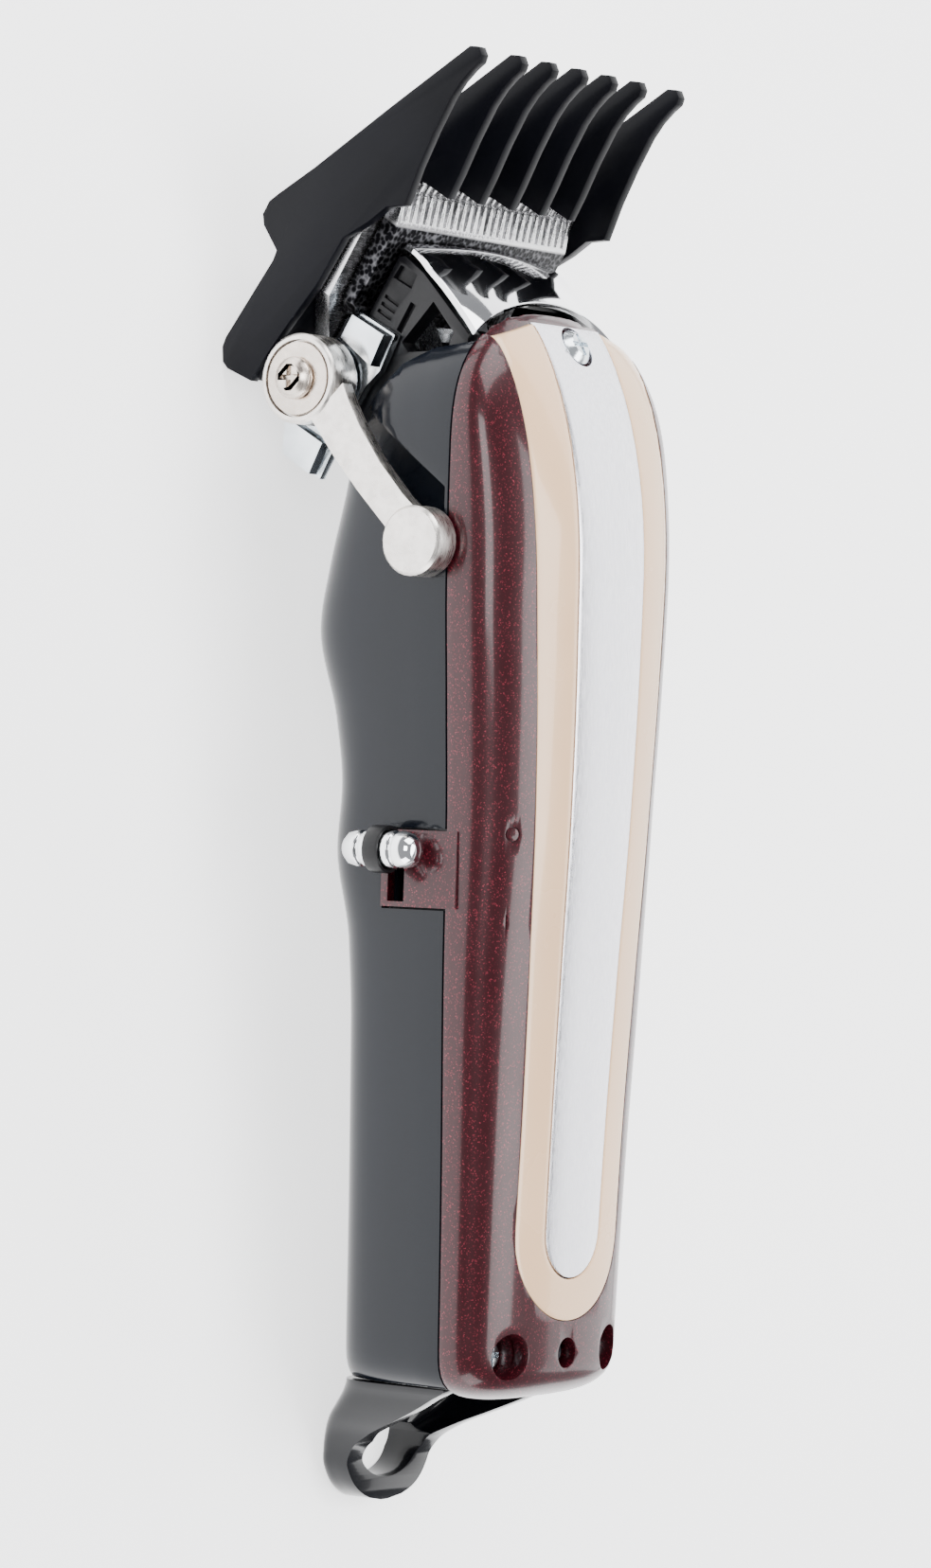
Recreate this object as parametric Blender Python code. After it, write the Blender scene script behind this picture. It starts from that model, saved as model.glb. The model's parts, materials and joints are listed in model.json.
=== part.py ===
"""Cordless hair clipper with a guide comb, lying on its back.

Shapes are described in millimetres in the clipper's own body frame:
  x  across the body, positive towards the taper lever
  t  along the body, 0 at the tail end of the lid, growing towards the blades
  v  across the seam, 0 at the seam between the shells, growing towards the lid
The blade set has a frame of its own, (x, s, n): s runs along the blades
towards the teeth and n points from the blades towards the lid.
The clipper_frame empty turns and lifts the body so that it rests on the table.
"""

import math

import bmesh
import bpy
from mathutils import Matrix, Vector

MM = 0.001
GAP = 0.3  # clearance between pieces that touch

# Rest on the table: the back of the hanging loop and the comb's heel both touch it.
LOOP_REST = (-12.0, -26.0)
COMB_REST = (139.6, -37.2)
REST_TILT = math.atan2(LOOP_REST[1] - COMB_REST[1], COMB_REST[0] - LOOP_REST[0])
# Middle of the whole object's box, which the world origin lies under.
BOX_MIDDLE_X = 1.52
BOX_MIDDLE_T = 82.7

# Body shells: (t, size) stations, read through a smooth curve.
HALF_WIDTHS = [(0, 18.2), (12, 18.5), (30, 19.1), (60, 20.4), (78, 20.8), (95, 21.8), (112, 22.8)]
HALF_WIDTHS += [(127, 23), (150, 23)]
BACK_DEPTHS = [(0, 20.6), (50, 20.7), (62, 21.4), (74.5, 24), (83, 23.3), (92, 24.4), (104, 27.5)]
BACK_DEPTHS += [(113, 25.8), (125, 22.6), (150, 19)]
CROWN_HEIGHTS = [(0, 8.4), (18, 8.7), (40, 9.4), (60, 10.3), (80, 11.3), (100, 11.7), (150, 11.7)]
NOSE_END = 149.0
NOSE_WIDTH_START = 127.0
NOSE_CROWN_START = 110.0
TAIL_CORNER = 8.0
LID_POWER = 2.7  # superellipse powers of the two shells' sections
HOUSING_POWER = 4.0
WALL = 2.2
HOUSING_TAIL = 2.0
HEAD_CAVITY_HALF = 17.7

# Inlays on the lid.
BAND_OUTER = [(10, 12.2), (30, 12.2), (75, 13.6), (125, 16.2), (150, 16.6)]
BAND_INNER = [(10, 6.4), (30, 6.5), (75, 7.2), (125, 8), (150, 8)]
BAND_TAIL = 11.0
INLAY_DEPTH = 0.9

# Nose cover: (t, v) of its ridge and its front end, in the middle of the body.
COVER_HALF = 17.2
COVER_RIDGE = (156.1, -8.5)
COVER_FOOT = (157.4, -12.35)
COVER_THICK = 0.62

# Screws, the tail row of holes and the charging socket.
TAIL_HOLE_T = 6.6
SCREW_SIDES = (("left", 11.7), ("right", -11.7))
NOSE_SCREW_T, NOSE_SCREW_V = 143.2, 3.4
NOSE_SCREW_LEAN = math.radians(28)  # towards the blades
BLADE_SCREW_S = -18.8
BLADE_SCREWS = (("left", 8.5), ("right", -8.5))
SOCKET_V = -9.5

# Blade set. BLADE_ZERO is the root of the cutter's teeth on the cutter's top face.
BLADE_ZERO = (159.3, -11.6)
BLADE_ANGLE = math.radians(31)
CUTTER_HALF = 20.3
BLADE_HALF = 23.0
CUTTER_THICK = 2.5
CUTTER_HEEL = -14.6  # stays clear of the blade carriage at the end of its travel
BLADE_TOP = -2.8
BLADE_BACK = -5.6
CUTTER_TOOTH = 3.6
BLADE_TOOTH = 4.6
CUTTER_TEETH = 26
BLADE_TEETH = 30

# Taper lever: pivot axis along x, through (s, n).
LEVER_S, LEVER_N = -24.7, 0.75
LEVER_ARM = 30.5
LEVER_REST_ANGLE = math.radians(43.8)  # of the arm, from the tail direction towards the lid
CAM_OFFSET = 2.0
CAM_REST_ANGLE = math.radians(-20)  # of the cam pin, from straight below the pivot, towards the teeth

# Drive.
MOTOR_V = -6.5
CRANK_OFFSET = 1.1
DRIVE_PIVOT = (137.5, -10.5)
DRIVE_TIP_S = -6.5
PIN_RADIUS = 1.3

# Power switch.
SWITCH_T = 74.4
SWITCH_X = 24.4
SWITCH_V = -7.8

# Comb: where its inner fins stand across the body, and its two outer walls.
FIN_X = (-14.6, -7.3, 0.0, 7.3, 14.6)
FIN_HALF = 0.8
WALL_INNER, WALL_OUTER = 23.35, 24.95

SCENE = bpy.context.scene


def body(x, t, v):
    """Body frame, in millimetres, to Blender's metres, before the clipper is laid on the table."""
    return Vector((x, -t, v)) * MM


def blade(x, s, n):
    """Blade frame to metres."""
    t, v = blade_tv(s, n)
    return body(x, t, v)


def blade_tv(s, n):
    cos, sin = math.cos(BLADE_ANGLE), math.sin(BLADE_ANGLE)
    return BLADE_ZERO[0] + s * cos - n * sin, BLADE_ZERO[1] + s * sin + n * cos


def curve(stations, t):
    """Smooth curve through the stations, level at its ends."""
    if t <= stations[0][0]:
        return stations[0][1]
    if t >= stations[-1][0]:
        return stations[-1][1]
    last = len(stations) - 1
    i = max(k for k in range(last) if stations[k][0] <= t)
    (t0, a0), (t1, a1) = stations[i], stations[i + 1]

    def slope(k):
        if k in (0, last):
            return 0.0
        before = (stations[k][1] - stations[k - 1][1]) / (stations[k][0] - stations[k - 1][0])
        after = (stations[k + 1][1] - stations[k][1]) / (stations[k + 1][0] - stations[k][0])
        return 0.0 if before * after <= 0 else 2 * before * after / (before + after)

    span = t1 - t0
    u = (t - t0) / span
    return (
        a0 * (2 * u**3 - 3 * u**2 + 1)
        + slope(i) * span * (u**3 - 2 * u**2 + u)
        + a1 * (3 * u**2 - 2 * u**3)
        + slope(i + 1) * span * (u**3 - u**2)
    )


def rounding(t, start, power):
    """1 up to the start, falling to 0 at the tail end as a superellipse."""
    if t >= start:
        return 1.0
    return max(0.0, 1 - ((start - t) / start) ** power) ** (1 / power)


def half_width(t):
    width = curve(HALF_WIDTHS, t) * rounding(t, TAIL_CORNER, 3.5)
    if t > NOSE_WIDTH_START:
        along = (t - NOSE_WIDTH_START) / (NOSE_END - NOSE_WIDTH_START)
        width *= math.sqrt(max(0.0, 1 - along**3))
    return width


def crown(t):
    height = curve(CROWN_HEIGHTS, t) * rounding(t, 6.0, 2.4)
    if t > NOSE_CROWN_START:
        along = (t - NOSE_CROWN_START) / (NOSE_END - NOSE_CROWN_START)
        height *= max(0.0, 1 - along**2.2) ** 0.75
    return height


def lid_height(x, t):
    """Height of the lid's outer surface."""
    share = min(1.0, abs(x) / max(half_width(t), 0.01))
    return crown(t) * (1 - share**LID_POWER) ** (1 / LID_POWER)


# ---------------------------------------------------------------- materials


def material(name, colour, roughness, metallic=0.0):
    made = bpy.data.materials.new(name)
    made.use_nodes = True
    shader = made.node_tree.nodes["Principled BSDF"]
    shader.inputs["Base Color"].default_value = (*colour, 1)
    shader.inputs["Roughness"].default_value = roughness
    shader.inputs["Metallic"].default_value = metallic
    made.diffuse_color = (*colour, 1)
    return made


# ---------------------------------------------------------------- mesh tools


def mesh_object(name, bm, finish=None, smooth_angle=35):
    bmesh.ops.recalc_face_normals(bm, faces=bm.faces)
    mesh = bpy.data.meshes.new(name)
    bm.to_mesh(mesh)
    bm.free()
    mesh.shade_smooth()
    mesh.set_sharp_from_angle(angle=math.radians(smooth_angle))
    made = bpy.data.objects.new(name, mesh)
    if finish:
        mesh.materials.append(finish)
    SCENE.collection.objects.link(made)
    made.parent = FRAME
    return made


def loft(name, rings, finish=None):
    """Closed skin over rings of body-frame points, capped at both ends."""
    bm = bmesh.new()
    rows = [[bm.verts.new(point) for point in ring] for ring in rings]
    for one, two in zip(rows, rows[1:]):
        for k in range(len(one)):
            following = (k + 1) % len(one)
            bm.faces.new((one[k], one[following], two[following], two[k]))
    bm.faces.new(rows[0])
    bm.faces.new(rows[-1])
    return mesh_object(name, bm, finish)


def prism(name, outline, x0, x1, finish=None, to_point=body):
    """Outline in (t, v), or in (s, n) with to_point=blade, extruded across the body."""
    return loft(name, [[to_point(x, a, b) for a, b in outline] for x in (x0, x1)], finish)


def box(name, low, high, finish=None, to_point=body):
    """Box between two corners of the body frame or the blade frame."""
    outline = [(low[1], low[2]), (high[1], low[2]), (high[1], high[2]), (low[1], high[2])]
    return prism(name, outline, low[0], high[0], finish, to_point)


def turned(name, profile, centre, axis, finish=None, segments=28):
    """Solid of revolution. profile: (radius, distance along the axis) from one end to the other."""
    turn = Vector((0, 0, 1)).rotation_difference(axis).to_matrix().to_4x4()
    place = Matrix.Translation(centre) @ turn
    bm = bmesh.new()
    rings = []
    for radius, along in profile:
        if radius < 1e-6:
            rings.append([bm.verts.new(place @ Vector((0, 0, along * MM)))])
            continue
        ring = []
        for k in range(segments):
            angle = 2 * math.pi * k / segments
            point = Vector((radius * math.cos(angle), radius * math.sin(angle), along)) * MM
            ring.append(bm.verts.new(place @ point))
        rings.append(ring)
    for one, two in zip(rings, rings[1:]):
        for k in range(segments):
            corners = (one[k % len(one)], one[(k + 1) % len(one)], two[(k + 1) % len(two)], two[k % len(two)])
            bm.faces.new(list(dict.fromkeys(corners)))
    for end in (rings[0], rings[-1]):
        if len(end) > 1:
            bm.faces.new(end)
    return mesh_object(name, bm, finish)


def rod(name, radius, centre, axis, start, end, finish=None, segments=24):
    return turned(name, [(radius, start), (radius, end)], centre, axis, finish, segments)


def boolean(target, operation, tools):
    for tool in tools:
        tool.hide_render = True
        tool.display_type = "WIRE"
        modifier = target.modifiers.new(f"{operation.lower()}_{tool.name}", "BOOLEAN")
        modifier.operation = operation
        modifier.object = tool
    return target


def cut(target, *tools):
    return boolean(target, "DIFFERENCE", tools)


def join(target, *tools):
    return boolean(target, "UNION", tools)


def joint_empty(name, place):
    """Empty on a joint's axis, which the moving pieces hang from."""
    empty = bpy.data.objects.new(name, None)
    empty.empty_display_size = 0.01
    SCENE.collection.objects.link(empty)
    empty.parent = FRAME
    empty.location = place
    return empty


def hang(empty, *pieces):
    """Parents pieces to a joint's empty and moves their origins onto it."""
    for piece in pieces:
        piece.data.transform(Matrix.Translation(-empty.location))
        piece.parent = empty
        for modifier in piece.modifiers:
            hang_tool(empty, modifier.object)


def hang_tool(empty, tool):
    if tool.parent is not empty:
        tool.data.transform(Matrix.Translation(-empty.location))
        tool.parent = empty


X_AXIS, T_AXIS, V_AXIS = Vector((1, 0, 0)), Vector((0, -1, 0)), Vector((0, 0, 1))
N_AXIS = (blade(0, 0, 1) - blade(0, 0, 0)).normalized()
DRIVE_TIP = blade_tv(DRIVE_TIP_S, 0.4)
DRIVE_ALONG = (body(0, *DRIVE_TIP) - body(0, *DRIVE_PIVOT)).normalized()
DRIVE_AXIS = DRIVE_ALONG.cross(X_AXIS).normalized()
if DRIVE_AXIS.z < 0:
    DRIVE_AXIS = -DRIVE_AXIS
LEVER_AT = blade(0, LEVER_S, LEVER_N)
NOSE_SCREW_AXIS = Vector((0, -math.sin(NOSE_SCREW_LEAN), math.cos(NOSE_SCREW_LEAN)))
NOSE_SCREW_AT = body(0, NOSE_SCREW_T, NOSE_SCREW_V)


# ---------------------------------------------------------------- shells


def dome_ring(t, width, height, base, count=20):
    """Section of the lid: a half superellipse over a level base."""
    points = []
    for k in range(count + 1):
        angle = math.pi * k / count
        cos, sin = math.cos(angle), abs(math.sin(angle))
        x = width * math.copysign(abs(cos) ** (2 / LID_POWER), cos)
        points.append(body(x, t, base + (height - base) * sin ** (2 / LID_POWER)))
    return points


def bowl_ring(t, width, depth, top, power=HOUSING_POWER, count=20):
    """Section of the housing: a half superellipse under a level top."""
    points = []
    for k in range(count + 1):
        angle = math.pi * k / count
        cos, sin = math.cos(angle), abs(math.sin(angle))
        x = width * math.copysign(abs(cos) ** (2 / power), cos)
        points.append(body(x, t, top - (depth + top) * sin ** (2 / power)))
    return points


def make_lid(finish):
    seam = GAP / 2
    stations = [0.1, 0.5, 1.3, 2.6, 4.5, 7, 10] + list(range(18, 126, 9))
    stations += [130, 134, 138, 141, 143.5, 145.5, 147, 148, 148.6, 148.9]
    rings = [dome_ring(t, half_width(t), max(crown(t), seam + 0.25), seam) for t in stations]
    lid = loft("lid", rings, finish)
    inside = [2.2, 3, 4.5, 7] + list(range(12, 126, 10)) + [130, 134, 138]
    hollow = loft(
        "lid_hollow",
        [dome_ring(t, half_width(t) - WALL, max(crown(t) - WALL, 1.0), -2.0, 16) for t in inside],
    )
    cut(lid, hollow)
    for side, x in SCREW_SIDES:
        join(lid, rod(f"lid_boss_{side}", 3.9, body(x, TAIL_HOLE_T, 0), V_AXIS, seam, 5.4))
    tab = box("switch_tab", (19.35, 66.7, -10.3), (21.0, 77.1, 2.0))
    join(lid, tab)
    cut(lid, box("tab_slot", (15, 67.4, -9.2), (30, 76.4, -6.5)))
    for side, x in SCREW_SIDES:
        cut(lid, rod(f"tail_recess_{side}", 3.15, body(x, TAIL_HOLE_T, 0), V_AXIS, 2.2, 12))
        cut(lid, rod(f"tail_bore_{side}", 1.6, body(x, TAIL_HOLE_T, 0), V_AXIS, -1, 4))
    cut(lid, rod("light_bore", 2.1, body(0, TAIL_HOLE_T, 0), V_AXIS, -1, 12))
    cut(lid, inlay_solid("inlay_bed", BAND_OUTER, BAND_TAIL - GAP, GAP, -INLAY_DEPTH - GAP, 2.0))
    cut(lid, nose_recess("lid"), rod("nose_bore", 1.7, NOSE_SCREW_AT, NOSE_SCREW_AXIS, -12, 2))
    return lid


def on_lid(x, t, offset):
    return body(x, t, lid_height(x, t) + offset)


def nose_edge(x):
    """t of the lid's front rim above a given x."""
    share = min(0.98, abs(x) / HALF_WIDTHS[-1][1])
    return NOSE_WIDTH_START + (NOSE_END - NOSE_WIDTH_START) * (1 - share**2) ** (1 / 3)


def inlay_solid(name, outer, tail, spread, low, high):
    """Plate inside the outer outline that follows the lid between offsets low and high."""
    rows = []
    count = 5
    stations = [tail + 0.25, tail + 1.0, tail + 2.5, tail + 5.0, tail + 8.5]
    stations += list(range(int(tail) + 16, 136, 9)) + [137, 140, 142.5, 144.5, 146.5, 148.2, 151]
    centre = tail + curve(outer, tail)
    for t in stations:
        half = curve(outer, t)
        if t < centre:
            half *= math.sqrt(max(0.02, 1 - ((centre - t) / (centre - tail)) ** 2))
        half += spread
        top, bottom = [], []
        for k in range(-count, count + 1):
            x = half * k / count
            top.append(on_lid(x, t, high))
            bottom.append(on_lid(x, t, low))
        rows.append(top + bottom[::-1])
    return loft(name, rows)


def nose_recess(owner):
    return rod(f"nose_recess_{owner}", 3.1, NOSE_SCREW_AT, NOSE_SCREW_AXIS, -0.2, 8)


def make_band(finish):
    """Gold U, open at the nose: a strip swept along its own middle line."""
    rings = []
    for (x_in, t_in), (x_out, t_out) in band_sections():
        ring = []
        for offset in (0.0, -INLAY_DEPTH):
            row = []
            for share in (0.0, 0.33, 0.67, 1.0):
                x = x_in + (x_out - x_in) * share
                t = t_in + (t_out - t_in) * share
                row.append(on_lid(x, t, offset))
            ring += row if offset == 0.0 else row[::-1]
        rings.append(ring)
    return loft("lid_band", rings, finish)


def band_sections():
    """Pairs of inner and outer plan points round the U, from one nose end to the other."""
    side = [145.2, 143, 140, 136, 130, 122, 112, 100, 88, 76, 64, 52, 40, 30]
    down = [((curve(BAND_INNER, t) + GAP / 2, t), (curve(BAND_OUTER, t), t)) for t in side]
    down[0] = ((down[0][0][0], 146.2), (down[0][1][0], 143.8))
    down[1] = ((down[1][0][0], 143.6), (down[1][1][0], 142.4))
    inner, outer = curve(BAND_INNER, 20) + GAP / 2, curve(BAND_OUTER, 20)
    bend_t = BAND_TAIL + outer
    bend = []
    for k in range(17):
        angle = math.pi * k / 16
        cos, sin = math.cos(angle), math.sin(angle)
        bend.append(((inner * cos, bend_t - inner * sin), (outer * cos, bend_t - outer * sin)))
    up = [((-a[0], a[1]), (-b[0], b[1])) for a, b in reversed(down)]
    return down + bend + up


def make_strip(finish):
    inner = [(t, a - GAP / 2) for t, a in BAND_INNER]
    radius = curve(inner, 20)
    tail = BAND_TAIL + curve(BAND_OUTER, 20) - radius
    rows = []
    stations = [tail + 0.2, tail + 0.8, tail + 2.0, tail + 4.2, tail + 6.4]
    stations += [34, 46, 58, 70, 82, 94, 106, 118, 128, 136, 141, 144, 146.4]
    for t in stations:
        half = curve(inner, t)
        if t < tail + radius:
            half *= math.sqrt(1 - ((tail + radius - t) / radius) ** 2)
        top = [on_lid(half * k / 3, t, 0.05) for k in range(-3, 4)]
        bottom = [on_lid(half * k / 3, t, -INLAY_DEPTH) for k in range(3, -4, -1)]
        rows.append(top + bottom)
    strip = loft("lid_strip", rows, finish)
    return cut(strip, nose_recess("strip"))


def make_bottom_housing(finish):
    seam = -GAP / 2
    stations = [HOUSING_TAIL, 3.5, 6, 10, 20, 32, 44, 54, 60, 65, 69, 73, 76, 80, 84, 88, 92, 96]
    stations += [100, 103, 106, 110, 114, 118, 122, 127, 131, 135, 139, 142, 144]
    housing = loft(
        "bottom_housing",
        [bowl_ring(t, half_width(t), curve(BACK_DEPTHS, t), seam) for t in stations],
        finish,
    )
    inside = [HOUSING_TAIL + WALL, 6, 10, 20, 32, 44, 54, 60, 65, 70, 76, 84, 90, 96, 100]
    inside += [104, 108, 113, 118, 125, 132, 150]
    hollow = loft(
        "housing_hollow",
        [bowl_ring(t, cavity_half(t), curve(BACK_DEPTHS, t) - WALL, 3.0, count=16) for t in inside],
    )
    cut(housing, hollow)
    front = [(146, 2), (143.4, 2), (143.0, -1), (142.2, -6), (140, -10.3), (135.3, -14.4), (131, -17.5)]
    front += [(127.5, -21), (126.5, -26), (126.5, -40), (146, -40)]
    cut(housing, prism("housing_front", front, -30, 30))
    recess = [(134.5, -15.8), (129.4, -8.8), (123.2, -0.6), (118.4, -0.6), (119.6, -5.5), (123, -9.5)]
    recess += [(125.5, -16.5), (127.5, -23), (133, -23)]
    cut(housing, prism("lever_recess", recess, 18.9, 30))
    bed = [(120.9, -19.1), (126.7, -19.1), (126.9, -27), (150, -27), (150, 3), (120.9, 3)]
    cut(housing, prism("chassis_bed", bed, -HEAD_CAVITY_HALF, HEAD_CAVITY_HALF))
    cut(housing, box("tab_notch", (19.0, 66.4, -10.6), (30, 77.4, 3)))
    cut(housing, box("switch_slot", (12, 67.4, -9.2), (30, 76.4, -6.5)))
    cut(housing, rod("socket_hole", 4.4, body(0, HOUSING_TAIL, SOCKET_V), T_AXIS, -3, 6))
    for side, x in SCREW_SIDES:
        post = rod(f"screw_post_{side}", 3.6, body(x, TAIL_HOLE_T, 0), V_AXIS, -16.4, seam)
        join(housing, post)
    for side, x in SCREW_SIDES:
        cut(housing, rod(f"post_bore_{side}", 1.5, body(x, TAIL_HOLE_T, 0), V_AXIS, -10, 2))
    return housing


def cavity_half(t):
    plain = curve(HALF_WIDTHS, t) * rounding(max(t, 3.0), TAIL_CORNER, 3.5) - WALL
    return min(plain, HEAD_CAVITY_HALF) if t > 100 else plain


def make_hanging_loop(finish):
    """Flared trough that narrows into the hook eye."""
    stations = [
        (1.7, half_width(HOUSING_TAIL), -20.6, -0.5),
        (0.0, 15.1, -21.4, -3.4),
        (-2.0, 14.1, -22.9, -7.2),
        (-4.0, 12.9, -24.5, -11.6),
        (-6.2, 11.4, -25.6, -16.4),
        (-8.5, 10.4, -26.1, -19.6),
        (-11.0, 9.6, -26.4, -20.8),
        (-12.4, 8.8, -26.4, -20.8),
        (-13.6, 7.8, -26.4, -20.8),
        (-14.6, 6.5, -26.4, -20.8),
        (-15.4, 4.9, -26.4, -20.9),
        (-15.9, 3.4, -26.4, -21.0),
        (-16.2, 1.8, -26.3, -21.1),
        (-16.3, 0.8, -26.3, -21.2),
    ]
    loop = loft("hanging_loop", [loop_ring(*station) for station in stations], finish)
    trough = [(2.5, 13.6, -18.4, 1), (0, 13.0, -19.0, 1), (-2, 12.0, -20.4, 1), (-4, 10.8, -21.6, 1)]
    trough += [(-6, 9.4, -22.4, 1), (-7.6, 7.4, -22.6, 1)]
    cut(loop, loft("loop_trough", [loop_ring(*station) for station in trough]))
    cut(loop, eye_solid())
    flat = loft("rest_plane_loop", [rest_slab(x, -25, 10) for x in (-40, 40)])
    cut(loop, flat)
    return loop


def eye_solid():
    """D-shaped hole through the loop, along v."""
    outline = [(6.9, -7.4), (6.3, -6.2), (5.0, -5.6), (-5.0, -5.6), (-6.3, -6.2), (-6.9, -7.4)]
    for k in range(13):
        angle = math.pi * k / 12
        outline.append((-6.9 * math.cos(angle), -8.2 - 4.9 * math.sin(angle)))
    return loft("loop_eye", [[body(x, t, v) for x, t in outline] for v in (-32, -12)])


def loop_ring(t, width, back, top):
    """Section with an upright side from top down to a rounded back."""
    middle = max(back + 3.2, min(top - 0.4, back + 0.62 * (top - back)))
    points = [body(width, t, top)]
    count = 12
    depth = middle - back
    for k in range(count + 1):
        angle = math.pi * k / count
        cos, sin = math.cos(angle), math.sin(angle)
        x = width * math.copysign(abs(cos) ** 0.45, cos)
        points.append(body(x, t, middle - depth * abs(sin) ** 0.55))
    points.append(body(-width, t, top))
    return points


def rest_slab(x, t0, t1):
    """Section of a slab under the table plane, between two stations."""
    depth = 12

    def table(t):
        return LOOP_REST[1] - (t - LOOP_REST[0]) * math.tan(REST_TILT)

    corners = [(t0, table(t0)), (t1, table(t1)), (t1, table(t1) - depth), (t0, table(t0) - depth)]
    return [body(x, t, v) for t, v in corners]


# ---------------------------------------------------------------- head


def make_nose_cover(finish):
    """Bright plate from the lid's front rim down to the back of the cutter."""
    columns = [COVER_HALF * k / 8 for k in range(-8, 9)]
    rings = []
    for share in (0.0, 0.35, 0.7, 1.0, 1.5, 2.0):
        upper, lower = [], []
        for x in columns:
            t, v = cover_point(x, share)
            upper.append(body(x, t, v))
            lower.append(body(x, t - COVER_THICK, v - COVER_THICK))
        rings.append(upper + lower[::-1])
    return loft("nose_cover", rings, finish)


def cover_point(x, share):
    """(t, v) on the nose cover: the lid's rim at share 0, its ridge at 1 and its front end at 2."""
    side = (x / COVER_HALF) ** 2
    rim = (nose_edge(x) + 0.75, -0.35)
    ridge = (COVER_RIDGE[0] - 2.7 * side, COVER_RIDGE[1])
    foot = (COVER_FOOT[0] - 0.8 * side, COVER_FOOT[1])
    start, end, along = (rim, ridge, share) if share <= 1 else (ridge, foot, share - 1)
    bulge = 0.8 * along * (1 - along)
    return tuple(a + (b - a) * along + bulge for a, b in zip(start, end))


def make_nose_frame(finish):
    cheek = [(121.5, -3), (141.6, -3), (142.8, -1.7), (144.2, -1.7), (152.5, -9.4), (154.9, -12.6)]
    cheek += [blade_tv(-4.9, 0.6), blade_tv(-16.0, 0.6), blade_tv(-16.0, -2.4)]
    cheek += [blade_tv(-21.9, -2.4), blade_tv(-22.3, -4.0)]
    cheek += [(138, -28.3), (133, -27.6), (128.2, -25.6), (127.2, -19), (121.5, -18.6)]
    frame = prism("nose_frame", cheek, 14.4, 17.3, finish)
    pocket = [(-7.7, 1.3), (-5.6, 1.5), (-5.4, 4.6), (-7.5, 4.8)]
    cut(frame, prism("square_pocket", pocket, 16.3, 18, to_point=blade))
    cut(frame, box("long_pocket", (16.3, -13.4, 5.7), (18, -9.0, 6.7), to_point=blade))
    for k in range(3):
        low, high = (16.7, -12.9 + 1.1 * k, 1.5), (18, -12.4 + 1.1 * k, 4.2)
        cut(frame, box(f"cheek_slot_{k}", low, high, to_point=blade))
    join(frame, prism("far_cheek", cheek, -17.3, -14.4))
    across = -15.5, 15.5
    join(frame, prism("frame_floor", [(127.9, -24.9), (133, -27), (133, -25), (128.2, -22.9)], *across))
    join(frame, box("pivot_bridge", (across[0], 133.2, -19), (across[1], 137.2, -16.8)))
    spring_bar = [(-19, 3.4), (-16.8, 3.4), (-16.8, 6.3), (-19, 6.3)]
    join(frame, prism("spring_bar", spring_bar, *across, to_point=blade))
    join(frame, prism("front_bar", [(150.6, -7.2), (153.8, -10.8), (152.9, -11.6), (149.7, -8.0)], *across))
    screw_bar = [(138.4, -3.2), (142.4, -3.2), (145.3, -5.8), (143.6, -7.2), (138.4, -6.4)]
    join(frame, prism("screw_bar", screw_bar, *across))
    window = [(148.6, -7.6), (144.4, -4.1), (142.0, -5.0), (141.8, -11.6), (143.2, -12.6)]
    cut(frame, prism("cheek_window", window, 13, 20), prism("far_window", window, -20, -13))
    cut(frame, rod("cam_hole", 3.55, LEVER_AT, X_AXIS, 12, 22))
    cut(frame, rod("pin_bore", PIN_RADIUS + 0.02, body(0, *DRIVE_PIVOT), DRIVE_AXIS, -9, -4))
    cut(frame, rod("frame_screw_bore", 1.6, NOSE_SCREW_AT, NOSE_SCREW_AXIS, -12, 2))
    return frame


def teeth_bar(name, half, count, tooth, low, high, corner, heel, finish):
    """Blade body between n low and high, with a row of teeth whose roots lie at s 0."""
    pitch = 2 * half / (count - 0.42)
    width = pitch * 0.58
    outline = [(corner - half, heel), (-half, heel + 1.33 * corner), (-half, 0)]
    for k in range(count):
        left = -half + k * pitch
        outline += [(left, 0), (left + width * 0.22, tooth), (left + width * 0.78, tooth), (left + width, 0)]
    outline += [(half, 0), (half, heel + 1.33 * corner), (half - corner, heel)]
    unique = [p for k, p in enumerate(outline) if k == 0 or math.dist(p, outline[k - 1]) > 1e-6]
    return loft(name, [[blade(x, s, n) for x, s in unique] for n in (low, high)], finish)


def make_fixed_blade(finish):
    blade_bar = teeth_bar(
        "fixed_blade", BLADE_HALF, BLADE_TEETH, BLADE_TOOTH, BLADE_BACK, BLADE_TOP, 6.0, -21.5, finish
    )
    wedge = [(-3.5, BLADE_BACK - 1), (6, BLADE_BACK - 1), (6, BLADE_TOP - 0.9)]
    cut(blade_bar, prism("blade_wedge", wedge, -30, 30, to_point=blade))
    for side, x in BLADE_SCREWS:
        cut(blade_bar, rod(f"blade_hole_{side}", 1.75, blade(x, BLADE_SCREW_S, 0), N_AXIS, -8, 0))
    return blade_bar


def make_cutter(finish):
    cutter = teeth_bar(
        "cutter", CUTTER_HALF, CUTTER_TEETH, CUTTER_TOOTH, -CUTTER_THICK, 0.0, 1.0, CUTTER_HEEL, finish
    )
    chamfer = [(-0.6, 0.8), (-0.6, 0.0), (4.5, -1.7), (4.5, 0.8)]
    cut(cutter, prism("cutter_chamfer", chamfer, -30, 30, to_point=blade))
    cut(cutter, box("drive_notch", (-1.9, -8.6, -1.7), (1.9, -4.4, 1), to_point=blade))
    groove = [(-13.2, -0.5), (-10.2, -0.5), (-10.2, 1), (-13.2, 1)]
    cut(cutter, prism("spring_groove", groove, -30, 30, to_point=blade))
    return cutter


def make_cutter_spring(finish):
    strip = [(-19.0, 7.3), (-16.5, 7.3), (-11.9, 0.4), (-10.8, 0.4)]
    strip += [(-10.8, -0.15), (-12.3, -0.15), (-16.9, 6.65), (-19.0, 6.65)]
    spring = prism("cutter_spring", strip, -9, 9, finish, blade)
    return cut(spring, box("spring_notch", (-4.4, -17.5, -2), (4.4, -8, 9), to_point=blade))


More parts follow.
